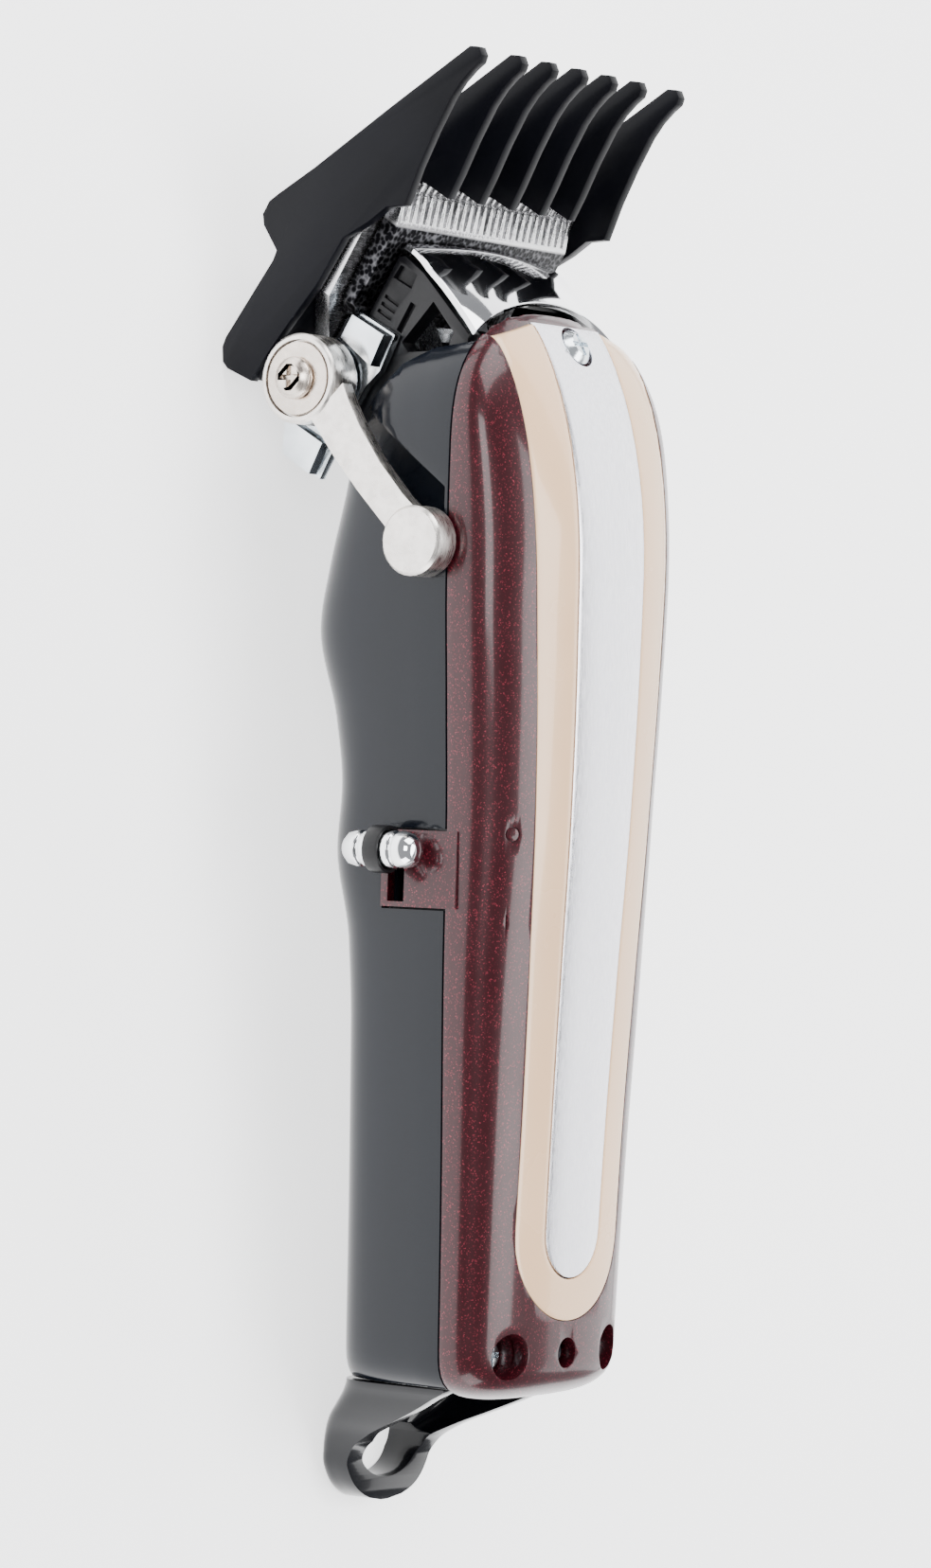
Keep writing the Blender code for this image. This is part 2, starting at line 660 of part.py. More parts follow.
def make_carriage(finish):
    plate = box("blade_carriage", (-13.9, -21.8, -2.45), (13.9, -16.3, 0.9), finish, blade)
    arm = [(-28.4, -3.0), (-21.0, -2.4), (-21.0, 2.8), (-28.4, 2.8)]
    join(plate, prism("carriage_arm", arm, 11.2, 13.9, to_point=blade))
    pin_s, pin_n = cam_pin()
    slot = box("cam_slot", (10, pin_s - 1.5, pin_n - 3.5), (15, pin_s + 1.5, pin_n + 2.0), to_point=blade)
    cut(plate, slot)
    for side, x in BLADE_SCREWS:
        cut(plate, rod(f"carriage_bore_{side}", 1.75, blade(x, BLADE_SCREW_S, 0), N_AXIS, -3, 2))
    return plate


def cam_pin():
    """(s, n) of the lever cam's pin at rest."""
    return (
        LEVER_S + CAM_OFFSET * math.sin(CAM_REST_ANGLE),
        LEVER_N - CAM_OFFSET * math.cos(CAM_REST_ANGLE),
    )


def make_blade_screw(name, x, finish):
    under_head = BLADE_BACK - 0.05 - GAP
    profile = [(0, -7.1), (2.2, -7.1), (2.9, -6.6), (2.9, under_head)]
    profile += [(1.4, under_head), (1.4, 1.6), (0, 1.6)]
    screw = turned(name, profile, blade(x, BLADE_SCREW_S, 0), N_AXIS, finish, 20)
    low, high = (x - 4, BLADE_SCREW_S - 0.35, -9), (x + 4, BLADE_SCREW_S + 0.35, -6.5)
    return cut(screw, box(f"{name}_slot", low, high, to_point=blade))


def make_lever_plate(finish):
    """Bracket beside the cheek, with a raised tab at each end."""
    outline = [(-36.5, 0.6), (-35.0, -0.6), (-29, -3.4), (-21.5, -3.4), (-17.5, 0.2)]
    outline += [(-13.9, 0.2), (-13.6, 7.0), (-19.0, 7.5), (-22, 6.6), (-30, 6.6), (-36.5, 6.9)]
    plate = prism("lever_plate", outline, 17.65, 19.0, finish, blade)
    upper = [(-17.8, 0.7), (-14.2, 0.7), (-13.9, 6.8), (-18.6, 7.2)]
    lower = [(-36.1, 1.0), (-31.6, -1.4), (-31.4, 6.0), (-36.1, 6.4)]
    for name, tab in (("upper_tab", upper), ("lower_tab", lower)):
        join(plate, prism(name, tab, 18.5, 21.2, to_point=blade))
    return cut(plate, rod("plate_hole", 3.6, LEVER_AT, X_AXIS, 10, 25))


def lever_point(along, across):
    """Point of the lever's own plane as (t, v): along the arm, and across it towards the blades."""
    cos, sin = math.cos(LEVER_REST_ANGLE), math.sin(LEVER_REST_ANGLE)
    pivot_t, pivot_v = blade_tv(LEVER_S, LEVER_N)
    return pivot_t - along * cos + across * sin, pivot_v + along * sin + across * cos


def make_lever(finish):
    hub = [(0, 20.7), (6.2, 20.7), (6.2, 25.6), (5.8, 26.0), (5.3, 26.0), (5.3, 25.0), (0, 25.0)]
    lever = turned("taper_lever", hub, LEVER_AT, X_AXIS, finish, 36)
    half_widths = [(5.7, 3.5), (8.0, 3.2), (12, 2.9), (18, 2.6), (24, 2.5), (29, 2.7)]
    bow = [1.4, 0.9, 0.2, -0.3, -0.3, 0.0]
    near = [lever_point(a, b + w) for (a, w), b in zip(half_widths, bow)]
    far = [lever_point(a, b - w) for (a, w), b in zip(half_widths, bow)]
    join(lever, prism("lever_arm", near + far[::-1], 23.5, 25.7))
    knob_t, knob_v = lever_point(LEVER_ARM, 0)
    knob = [(0, 23.5), (4.4, 23.5), (4.75, 23.9), (4.75, 27.5), (4.3, 28.0), (0, 28.0)]
    join(lever, turned("lever_knob", knob, body(0, knob_t, knob_v), X_AXIS, segments=32))
    return cut(lever, rod("lever_bore", 1.65, LEVER_AT, X_AXIS, 18, 28))


def make_drive_lever(finish):
    """Rocking arm: a fork at the crank, a hub on the pin and a peg in the cutter."""
    pivot = body(0, *DRIVE_PIVOT)
    lever = turned("drive_lever", [(3.4, -2.6), (3.4, 2.6)], pivot, DRIVE_AXIS, finish, 24)
    tip = body(0, *DRIVE_TIP)

    def bar(name, start, end, half_x, half_h):
        side = DRIVE_AXIS * half_h * MM
        corners = (start - side, start + side, end + side, end - side)
        return loft(name, [[corner + x * X_AXIS * MM for corner in corners] for x in (-half_x, half_x)])

    join(lever, bar("drive_arm", pivot + DRIVE_ALONG * 2.0 * MM, tip + DRIVE_ALONG * 1.3 * MM, 1.5, 1.1))
    peg = rod("drive_peg", 1.45, blade(0, DRIVE_TIP_S, 0), N_AXIS, -1.35, 1.2, segments=16)
    join(lever, peg)
    back = body(0, 129.2, MOTOR_V - 1.6)
    join(lever, bar("fork_stem", pivot - DRIVE_ALONG * 2.0 * MM, back, 2.2, 1.2))
    yoke = box("fork_yoke", (-6.0, 127.6, MOTOR_V - 3.4), (6.0, 130.0, MOTOR_V + 0.6))
    join(lever, yoke)
    for side in (-1, 1):
        prong = sorted((side * 4.2, side * 6.0))
        low, high = (prong[0], 123.1, MOTOR_V - 3.4), (prong[1], 128.2, MOTOR_V + 0.6)
        join(lever, box(f"fork_prong_{side + 1}", low, high))
    return cut(lever, rod("drive_bore", PIN_RADIUS + 0.35, pivot, DRIVE_AXIS, -8, 8))


# ---------------------------------------------------------------- comb


def make_comb(finish):
    """Base plate behind the fixed blade, five inner fins and two outer walls."""
    fin = [(5.2, -5.4), (5.2, 2.0), (8.8, 1.9), (14.1, 1.5), (19.3, 1.4), (21.9, 1.7)]
    fin += [(24.0, 2.3), (25.4, 2.9), (26.4, 2.7), (27.1, 1.7), (26.5, 0.4), (13.5, -6.5)]
    fin += [(0.4, -13.2), (-5.6, -16.6), (-7.2, -17.4)]
    fin += [(-9.2, -17.4), (-10.4, -16.4), (-12.2, -12.6), (-12.6, -7.0), (-12.6, -6.0), (4.6, -6.0)]
    comb = prism("guide_comb", fin, FIN_X[0] - FIN_HALF, FIN_X[0] + FIN_HALF, finish, blade)
    for k, x in enumerate(FIN_X[1:]):
        join(comb, prism(f"comb_fin_{k}", fin, x - FIN_HALF, x + FIN_HALF, to_point=blade))
    tip_and_back = fin[2:18]
    wall = [(3.5, 2.7)] + tip_and_back + [(-13.6, -12.4), (-26.4, -13.6), (-29.2, -13.2)]
    wall += [(-29.9, -11.0), (-29.3, -6.6), (-24.7, -6.2), (-19.5, -5.4), (-13.0, -4.2)]
    wall += [(-5.2, -3.8), (-1.3, -1.3), (1.8, 0.2)]
    for side, low, high in (("near", WALL_INNER, WALL_OUTER), ("far", -WALL_OUTER, -WALL_INNER)):
        join(comb, prism(f"comb_wall_{side}", wall, low, high, to_point=blade))
    inside = WALL_INNER + 0.6
    plate = [(-28.6, -6.0), (-5.0, -6.0), (-5.0, -7.6), (-28.6, -7.9)]
    join(comb, prism("comb_plate", plate, -inside, inside, to_point=blade))
    heel = [(-29.4, -7.3), (-29.7, -11.0), (-29.1, -13.1), (-26.9, -13.4), (-27.4, -7.2)]
    join(comb, prism("comb_heel", heel, -inside, inside, to_point=blade))
    front = [(-5.0, -6.6), (-5.0, -7.6), (-9.0, -10.4), (-9.8, -9.6)]
    join(comb, prism("comb_rib", front, -inside, inside, to_point=blade))
    window = [(-22.6, -5), (-14.8, -5), (-14.8, -9), (-22.6, -9)]
    cut(comb, prism("comb_window", window, -13.0, 13.0, to_point=blade))
    cut(comb, loft("rest_plane_comb", [rest_slab(x, 120, 165) for x in (-40, 40)]))
    return comb


# ---------------------------------------------------------------- inside the body


def make_motor(steel, plastic, brass):
    start = body(0, 88, MOTOR_V)
    shell = [(0, 0), (9.2, 0), (9.7, 0.6), (9.7, 27.4), (9.1, 28), (3.1, 28), (3.1, 29.4), (0, 29.4)]
    can = turned("motor_can", shell, start, T_AXIS, steel, 32)
    cut(can, rod("motor_bore", 1.35, start, T_AXIS, 18, 31))
    end = [(0, -3.2), (7.6, -3.2), (9.2, -2.2), (9.4, -GAP), (0, -GAP)]
    turned("motor_end_cap", end, start, T_AXIS, plastic, 28)
    shaft = rod("motor_shaft", 1.0, start, T_AXIS, 18.6, 32.3, steel, 16)
    profile = [(0, 32.6), (3.6, 32.6), (3.6, 34.8), (0, 34.8)]
    crank = turned("motor_crank", profile, start, T_AXIS, brass, 24)
    pin_at = start + X_AXIS * CRANK_OFFSET * MM
    join(crank, rod("crank_pin", 1.4, pin_at, T_AXIS, 34, 38.6, segments=16))
    cradle_outline = [(96, -20.6), (110, -20.6), (110, MOTOR_V - 1.5), (96, MOTOR_V - 1.5)]
    cradle = prism("motor_cradle", cradle_outline, -12.5, 12.5, plastic)
    cut(cradle, rod("cradle_bore", 10.05, start, T_AXIS, 4, 26, segments=32))
    return shaft, crank


def make_electrics(wrap, board_green, black, clear):
    """Cell, circuit board, slide switch, charging socket and the charge light."""
    cell = [(0, 0), (8.0, 0), (8.6, 0.5), (8.6, 49.5), (8.0, 50), (3.0, 50), (3.0, 51), (0, 51)]
    turned("li_ion_cell", cell, body(0, 14, -9.2), T_AXIS, wrap, 28)
    outline = [(-7, 3.6), (7, 3.6), (7, 11.4), (13.4, 11.4)]
    outline += [(13.4, 84), (-13.4, 84), (-13.4, 11.4), (-7, 11.4)]
    loft("circuit_board", [[body(x, t, v) for x, t in outline] for v in (0.9, 2.1)], board_green)
    box("slide_switch", (11.2, 64.6, -10.8), (16.0, 80.6, -4.8), black)
    socket = [(0, 3.8), (3.9, 3.8), (3.9, -GAP / 2), (5.2, -GAP / 2 - 0.2), (5.2, -1.5)]
    socket += [(2.7, -1.5), (2.7, 2.6), (0, 2.6)]
    place = body(0, HOUSING_TAIL - 0.15, SOCKET_V)
    jack = turned("charging_socket", socket, place, T_AXIS, black, 24)
    join(jack, rod("socket_pin", 0.8, place, T_AXIS, -1.0, 3.0, segments=12))
    pipe = [(0, 2.4), (1.8, 2.4), (1.8, 6.3), (1.2, 6.7), (0, 6.7)]
    turned("charge_light_pipe", pipe, body(0, TAIL_HOLE_T, 0), V_AXIS, clear, 20)


def make_case_screw(name, place, axis, head, shank, finish):
    """Pan-head screw with a cross recess; the head's underside is at the given place."""
    radius, height = head
    profile = [(0, -shank), (1.25, -shank), (1.25, 0), (radius, 0)]
    profile += [(radius, height * 0.5), (radius * 0.62, height), (0, height)]
    screw = turned(name, profile, place, axis, finish, 18)
    turn = V_AXIS.rotation_difference(axis).to_matrix()
    for k, (a, b) in enumerate(((1.7, 0.35), (0.35, 1.7))):
        corners = [(-a, -b), (a, -b), (a, b), (-a, b)]
        heights = (height * 0.45, height + 1)
        rings = [[place + turn @ Vector((p, q, h)) * MM for p, q in corners] for h in heights]
        cut(screw, loft(f"{name}_cross_{k}", rings))
    return screw


def make_switch(chrome, black):
    centre = body(SWITCH_X, SWITCH_T, SWITCH_V)
    side = [(0, 6.1), (1.5, 5.7), (2.3, 4.8), (2.55, 3.6), (2.55, 3.1), (2.2, 2.9), (2.2, 2.5), (2.55, 2.3)]
    profile = [(r, -h) for r, h in side] + [(r, h) for r, h in reversed(side)]
    barrel = turned("switch_barrel", profile, centre, V_AXIS, chrome, 24)
    carrier = rod("switch_carrier", 3.25, centre, V_AXIS, -1.2, 1.2, black, 24)
    low, high = (16.6, SWITCH_T - 1.4, SWITCH_V - 0.9), (SWITCH_X, SWITCH_T + 1.4, SWITCH_V + 0.9)
    join(carrier, box("switch_stem", low, high))
    low, high = (16.3, SWITCH_T - 3.6, SWITCH_V - 2.6), (17.1, SWITCH_T + 4.4, SWITCH_V + 2.6)
    join(carrier, box("switch_slider", low, high))
    cut(carrier, rod("barrel_bore", 2.75, centre, V_AXIS, -4, 4, segments=24))
    return barrel, carrier


# ---------------------------------------------------------------- assembly

for old in list(bpy.data.objects):
    bpy.data.objects.remove(old, do_unlink=True)

FRAME = bpy.data.objects.new("clipper_frame", None)
SCENE.collection.objects.link(FRAME)
TURN = Matrix.Rotation(-REST_TILT, 4, "X")
touching = TURN @ body(0, *LOOP_REST)
middle = TURN @ body(BOX_MIDDLE_X, BOX_MIDDLE_T, -10)
FRAME.matrix_world = Matrix.Translation((-middle.x, -middle.y, -touching.z)) @ TURN

BURGUNDY = material("burgundy_gloss", (0.10, 0.01, 0.02), 0.2)
GOLD = material("gold_gloss", (0.83, 0.62, 0.42), 0.25)
SILVER = material("satin_silver", (0.82, 0.82, 0.87), 0.2, 1.0)
SLATE = material("slate_gloss", (0.045, 0.05, 0.065), 0.18)
BLACK = material("black_plastic", (0.012, 0.012, 0.016), 0.45)
LOOP_BLACK = material("loop_gloss", (0.02, 0.022, 0.028), 0.25)
CHROME = material("chrome", (0.85, 0.86, 0.88), 0.06, 1.0)
STEEL = material("blade_steel", (0.62, 0.62, 0.63), 0.28, 1.0)
NICKEL = material("satin_nickel", (0.74, 0.70, 0.66), 0.3, 1.0)
ZINC = material("zinc", (0.72, 0.75, 0.78), 0.25, 1.0)
BRASS = material("brass", (0.75, 0.55, 0.25), 0.3, 1.0)
WRAP = material("cell_wrap", (0.05, 0.16, 0.35), 0.4)
GREEN = material("board_green", (0.02, 0.18, 0.08), 0.45)
GREY = material("grey_plastic", (0.35, 0.36, 0.38), 0.5)
LIGHT_PIPE = material("light_pipe", (0.75, 0.78, 0.8), 0.15)

make_lid(BURGUNDY)
make_band(GOLD)
make_strip(SILVER)
make_bottom_housing(SLATE)
make_hanging_loop(LOOP_BLACK)
make_nose_cover(CHROME)
make_nose_frame(BLACK)
make_cutter_spring(STEEL)
make_lever_plate(ZINC)
rod("drive_pivot_pin", PIN_RADIUS, body(0, *DRIVE_PIVOT), DRIVE_AXIS, -8.4, 3.6, STEEL, 20)
for side_name, screw_x in SCREW_SIDES:
    tail_seat = body(screw_x, TAIL_HOLE_T, 2.5)
    make_case_screw(f"lid_tail_screw_{side_name}", tail_seat, V_AXIS, (2.6, 1.7), 9.5, ZINC)
nose_seat = NOSE_SCREW_AT + NOSE_SCREW_AXIS * 0.1 * MM
make_case_screw("lid_nose_screw", nose_seat, NOSE_SCREW_AXIS, (2.65, 1.8), 8.0, ZINC)

motor_shaft, motor_crank = make_motor(STEEL, BLACK, BRASS)
hang(joint_empty("motor_axis", body(0, 88, MOTOR_V)), motor_shaft, motor_crank)
make_electrics(WRAP, GREEN, BLACK, LIGHT_PIPE)

carriage_slide = joint_empty("blade_carriage_slide", blade(0, BLADE_SCREW_S, 0))
blade_screws = [make_blade_screw(f"blade_screw_{name}", x, ZINC) for name, x in BLADE_SCREWS]
hang(carriage_slide, make_carriage(ZINC), make_fixed_blade(STEEL), *blade_screws)
hang(joint_empty("comb_slide", blade(0, 0, BLADE_BACK)), make_comb(BLACK))
hang(joint_empty("cutter_slide", blade(0, DRIVE_TIP_S, 0)), make_cutter(STEEL))
hang(joint_empty("drive_lever_axis", body(0, *DRIVE_PIVOT)), make_drive_lever(GREY))

lever = make_lever(NICKEL)
washer = rod("lever_washer", 5.0, LEVER_AT, X_AXIS, 25.25, 25.95, NICKEL, 32)
cut(washer, rod("washer_bore", 1.7, LEVER_AT, X_AXIS, 20, 30))
screw_place = LEVER_AT + X_AXIS * 26.25 * MM
lever_screw = make_case_screw("lever_screw", screw_place, X_AXIS, (2.9, 1.7), 11.0, NICKEL)
cam = rod("lever_cam", 3.2, LEVER_AT, X_AXIS, 14.8, 20.4, BRASS, 24)
cam_s, cam_n = cam_pin()
join(cam, rod("cam_pin", 1.2, blade(0, cam_s, cam_n), X_AXIS, 11.4, 15.2, segments=16))
cut(cam, rod("cam_bore", 1.6, LEVER_AT, X_AXIS, 15.0, 22))
spring_washer = rod("lever_spring_washer", 5.4, LEVER_AT, X_AXIS, 19.5, 20.2, STEEL, 28)
cut(spring_washer, rod("spring_washer_bore", 3.6, LEVER_AT, X_AXIS, 18, 22))
hang(joint_empty("taper_lever_axis", LEVER_AT), lever, washer, lever_screw, cam, spring_washer)

barrel, carrier = make_switch(CHROME, BLACK)
hang(joint_empty("power_switch_slide", body(SWITCH_X, SWITCH_T, SWITCH_V)), barrel, carrier)
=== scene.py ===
"""Looks for the cordless hair clipper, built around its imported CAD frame.

Surfaces are laid out in millimetres in the clipper's own body frame:
  x  across the body, positive towards the taper lever
  t  along the body, 0 at the tail end of the lid, growing towards the blades
  v  across the seam, 0 at the seam between the shells, growing towards the lid
"""

import json
import math

import bmesh
import bpy
from mathutils import Matrix, Vector


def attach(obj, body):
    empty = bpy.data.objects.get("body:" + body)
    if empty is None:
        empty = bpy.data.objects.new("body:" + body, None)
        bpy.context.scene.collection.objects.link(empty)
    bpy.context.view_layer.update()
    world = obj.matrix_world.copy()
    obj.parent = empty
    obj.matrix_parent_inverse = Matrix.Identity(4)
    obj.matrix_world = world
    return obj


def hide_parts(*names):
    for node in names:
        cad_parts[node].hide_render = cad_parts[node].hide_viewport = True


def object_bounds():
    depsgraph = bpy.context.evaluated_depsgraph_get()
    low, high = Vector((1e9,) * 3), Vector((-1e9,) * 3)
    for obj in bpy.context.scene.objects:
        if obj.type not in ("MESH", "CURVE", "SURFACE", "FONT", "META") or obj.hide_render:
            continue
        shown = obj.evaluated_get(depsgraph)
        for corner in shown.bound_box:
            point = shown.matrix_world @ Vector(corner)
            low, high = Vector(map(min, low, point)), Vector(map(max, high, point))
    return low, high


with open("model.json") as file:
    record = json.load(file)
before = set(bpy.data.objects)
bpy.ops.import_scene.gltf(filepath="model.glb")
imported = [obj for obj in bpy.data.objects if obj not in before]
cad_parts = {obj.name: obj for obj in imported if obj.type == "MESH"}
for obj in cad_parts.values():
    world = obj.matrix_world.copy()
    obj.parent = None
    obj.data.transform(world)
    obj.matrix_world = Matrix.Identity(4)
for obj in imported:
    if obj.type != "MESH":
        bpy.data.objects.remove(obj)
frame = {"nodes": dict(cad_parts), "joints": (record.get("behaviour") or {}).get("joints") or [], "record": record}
CAD_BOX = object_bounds()

MM = 0.001
NODES = frame["nodes"]
SCENE = bpy.context.scene
JOINTS = {joint["name"]: joint for joint in frame["joints"]}

# Body shells: (t, size) stations, read through a smooth curve.
HALF_WIDTHS = [(0, 18.2), (12, 18.5), (30, 19.1), (60, 20.4), (78, 20.8), (95, 21.8), (112, 22.8)]
HALF_WIDTHS += [(127, 23), (150, 23)]
BACK_DEPTHS = [(0, 20.6), (50, 20.7), (62, 21.4), (74.5, 24), (83, 23.3), (92, 24.4), (104, 27.5)]
BACK_DEPTHS += [(113, 25.8), (125, 22.6), (150, 19)]
CROWN_HEIGHTS = [(0, 8.4), (18, 8.7), (40, 9.4), (60, 10.3), (80, 11.3), (100, 11.7), (150, 11.7)]
NOSE_END = 149.0
NOSE_WIDTH_START = 127.0
NOSE_CROWN_START = 110.0
TAIL_CORNER = 8.0
LID_POWER = 2.7  # superellipse powers of the two shells' sections
HOUSING_POWER = 4.0
WALL = 2.2
HOUSING_TAIL = 2.0
HEAD_CAVITY_HALF = 17.7
SEAM = 0.15  # half of the gap between the shells
SHARP_ANGLE = 32  # degrees, above which an edge stays sharp

# Inlays on the lid.
BAND_OUTER = [(10, 12.2), (30, 12.2), (75, 13.6), (125, 16.2), (150, 16.6)]
BAND_INNER = [(10, 6.4), (30, 6.5), (75, 7.2), (125, 8), (150, 8)]
BAND_TAIL = 11.0
INLAY_DEPTH = 0.9
INLAY_GAP = 0.12

# Nose cover: (t, v) of its ridge and its front end, in the middle of the body.
COVER_HALF = 17.2
COVER_RIDGE = (156.1, -8.5)
COVER_FOOT = (157.4, -12.35)
COVER_THICK = 0.62

# Blade set: (t, v) of the root of the cutter's teeth on its top face.
BLADE_ZERO = (159.3, -11.6)

# Screws and the tail row of holes.
TAIL_HOLE_T = 6.6
TAIL_HOLE_X = 11.7
TAIL_SIDES = (("left", TAIL_HOLE_X), ("right", -TAIL_HOLE_X))
NOSE_SCREW_T, NOSE_SCREW_V = 143.2, 3.4
NOSE_SCREW_LEAN = math.radians(28)
SWITCH_T = 74.4
SOCKET_V = -9.5
MARK_DEPTH = 0.18  # engraving of the switch marks
MARK_X = 16.9

# Camera, in the body frame.
CAMERA_AZIMUTH = math.radians(55)  # of the view from straight above the lid towards the lever side
CAMERA_ROLL = math.radians(2)
CAMERA_DISTANCE = 780.0
CAMERA_TARGET_T = 74.0
CAMERA_AIM = (9.2, -9.85)  # how far that point lies right of and above the middle
CAMERA_LENS = 130.7
FLOOR_REACH = 1.6  # metres each way
FLOOR_STEPS = 8

TILT = math.atan2(-JOINTS["power_switch_slide"]["axis"][2], JOINTS["power_switch_slide"]["axis"][1])
TURN = Matrix.Rotation(-TILT, 4, "X")
SPIN_T, SPIN_V = 110.0, -6.5  # where the motor's axis is named in the body frame


def place_frame():
    """Body frame to the row frame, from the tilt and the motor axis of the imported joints."""
    spin = Vector(JOINTS["motor_spin"]["pos_m"])
    return Matrix.Translation(spin - TURN @ (Vector((0, -SPIN_T, SPIN_V)) * MM)) @ TURN


PLACE = place_frame()
T_AXIS = TURN.to_3x3() @ Vector((0, -1, 0))
V_AXIS = TURN.to_3x3() @ Vector((0, 0, 1))
BLADE_AXIS = Vector(JOINTS["blade_adjust"]["axis"])  # towards the teeth


def body(x, t, v):
    """Body frame, in millimetres, to the row frame, in metres."""
    return PLACE @ (Vector((x, -t, v)) * MM)


def curve(stations, t):
    """Smooth curve through the stations, level at its ends."""
    if t <= stations[0][0]:
        return stations[0][1]
    if t >= stations[-1][0]:
        return stations[-1][1]
    last = len(stations) - 1
    i = max(k for k in range(last) if stations[k][0] <= t)
    (t0, a0), (t1, a1) = stations[i], stations[i + 1]

    def slope(k):
        if k in (0, last):
            return 0.0
        before = (stations[k][1] - stations[k - 1][1]) / (stations[k][0] - stations[k - 1][0])
        after = (stations[k + 1][1] - stations[k][1]) / (stations[k + 1][0] - stations[k][0])
        return 0.0 if before * after <= 0 else 2 * before * after / (before + after)

    span = t1 - t0
    u = (t - t0) / span
    return (
        a0 * (2 * u**3 - 3 * u**2 + 1)
        + slope(i) * span * (u**3 - 2 * u**2 + u)
        + a1 * (3 * u**2 - 2 * u**3)
        + slope(i + 1) * span * (u**3 - u**2)
    )


def rounding(t, start, power):
    """1 up to the start, falling to 0 at the tail end as a superellipse."""
    if t >= start:
        return 1.0
    return max(0.0, 1 - ((start - t) / start) ** power) ** (1 / power)


def half_width(t):
    width = curve(HALF_WIDTHS, t) * rounding(t, TAIL_CORNER, 3.5)
    if t > NOSE_WIDTH_START:
        along = (t - NOSE_WIDTH_START) / (NOSE_END - NOSE_WIDTH_START)
        width *= math.sqrt(max(0.0, 1 - along**3))
    return width


def crown(t):
    height = curve(CROWN_HEIGHTS, t) * rounding(t, 6.0, 2.4)
    if t > NOSE_CROWN_START:
        along = (t - NOSE_CROWN_START) / (NOSE_END - NOSE_CROWN_START)
        height *= max(0.0, 1 - along**2.2) ** 0.75
    return height


def lid_height(x, t):
    """Height of the lid's outer surface."""
    share = min(1.0, abs(x) / max(half_width(t), 0.01))
    return crown(t) * (1 - share**LID_POWER) ** (1 / LID_POWER)


def on_lid(x, t, offset):
    return body(x, t, lid_height(x, t) + offset)


def spread(low, high, step):
    """Even stations from low to high, or down to it, about a step apart."""
    count = max(1, round(abs(high - low) / step))
    return [low + (high - low) * k / count for k in range(count + 1)]


# ---------------------------------------------------------------- materials


class Nodes:
    """A Principled material and short ways to add the nodes that feed it."""

    def __init__(self, name, colour, roughness, metallic=0.0):
        self.material = bpy.data.materials.new(name)
        self.material.use_nodes = True
        self.tree = self.material.node_tree
        self.shader = self.tree.nodes["Principled BSDF"]
        self.colour = (*colour, 1)
        self.set("Base Color", self.colour)
        self.set("Roughness", roughness)
        self.set("Metallic", metallic)
        self.place = self.tree.nodes.new("ShaderNodeTexCoord").outputs["Object"]

    def set(self, socket, value):
        self.shader.inputs[socket].default_value = value

    def link(self, output, socket):
        self.tree.links.new(output, socket)

    def feed(self, output, socket):
        self.link(output, self.shader.inputs[socket])

    def noise(self, scale, detail=3.0, stretch=(1, 1, 1)):
        mapping = self.tree.nodes.new("ShaderNodeMapping")
        mapping.inputs["Scale"].default_value = stretch
        self.link(self.place, mapping.inputs["Vector"])
        noise = self.tree.nodes.new("ShaderNodeTexNoise")
        noise.inputs["Scale"].default_value = scale
        noise.inputs["Detail"].default_value = detail
        self.link(mapping.outputs["Vector"], noise.inputs["Vector"])
        return noise.outputs["Fac"]

    def cells(self, scale):
        cells = self.tree.nodes.new("ShaderNodeTexVoronoi")
        cells.inputs["Scale"].default_value = scale
        self.link(self.place, cells.inputs["Vector"])
        return cells

    def ramp(self, source, low, high, start=0.35, end=0.65):
        ramp = self.tree.nodes.new("ShaderNodeValToRGB")
        ramp.color_ramp.elements[0].position = start
        ramp.color_ramp.elements[1].position = end
        ramp.color_ramp.elements[0].color = low
        ramp.color_ramp.elements[1].color = high
        self.link(source, ramp.inputs["Fac"])
        return ramp.outputs["Color"]

    def vary_roughness(self, source, low, high):
        spread_out = self.tree.nodes.new("ShaderNodeMapRange")
        spread_out.inputs["From Min"].default_value = 0.3
        spread_out.inputs["From Max"].default_value = 0.7
        spread_out.inputs["To Min"].default_value = low
        spread_out.inputs["To Max"].default_value = high
        self.link(source, spread_out.inputs["Value"])
        self.feed(spread_out.outputs["Result"], "Roughness")

    def along(self, origin, axis, start, end):
        """0 before the start and 1 after the end of a stretch along an axis, in millimetres."""
        dot = self.tree.nodes.new("ShaderNodeVectorMath")
        dot.operation = "DOT_PRODUCT"
        self.link(self.place, dot.inputs[0])
        dot.inputs[1].default_value = axis
        stretch = self.tree.nodes.new("ShaderNodeMapRange")
        stretch.inputs["From Min"].default_value = origin.dot(axis) + start * MM
        stretch.inputs["From Max"].default_value = origin.dot(axis) + end * MM
        self.link(dot.outputs["Value"], stretch.inputs["Value"])
        return stretch.outputs["Result"]

    def mix(self, factor, low, high):
        """Colour or value that runs from low to high; either may be an output."""
        mixed = self.tree.nodes.new("ShaderNodeMix")
        mixed.data_type = "RGBA"
        self.link(factor, mixed.inputs["Factor"])
        for key, value in (("A", low), ("B", high)):
            socket = next(s for s in mixed.inputs if s.name == key and s.type == "RGBA")
            if isinstance(value, tuple):
                socket.default_value = value
            else:
                self.link(value, socket)
        return next(s for s in mixed.outputs if s.type == "RGBA")

    def bump(self, source, strength, distance):
        bump = self.tree.nodes.new("ShaderNodeBump")
        bump.inputs["Strength"].default_value = strength
        bump.inputs["Distance"].default_value = distance
        self.link(source, bump.inputs["Height"])
        self.feed(bump.outputs["Normal"], "Normal")

    def shade(self, source, low, high, start=0.35, end=0.65):
        """Base colour that runs between two shares of the material's own colour."""
        dark = tuple(c * low for c in self.colour[:3]) + (1,)
        light = tuple(min(1.0, c * high) for c in self.colour[:3]) + (1,)
        self.feed(self.ramp(source, dark, light, start, end), "Base Color")


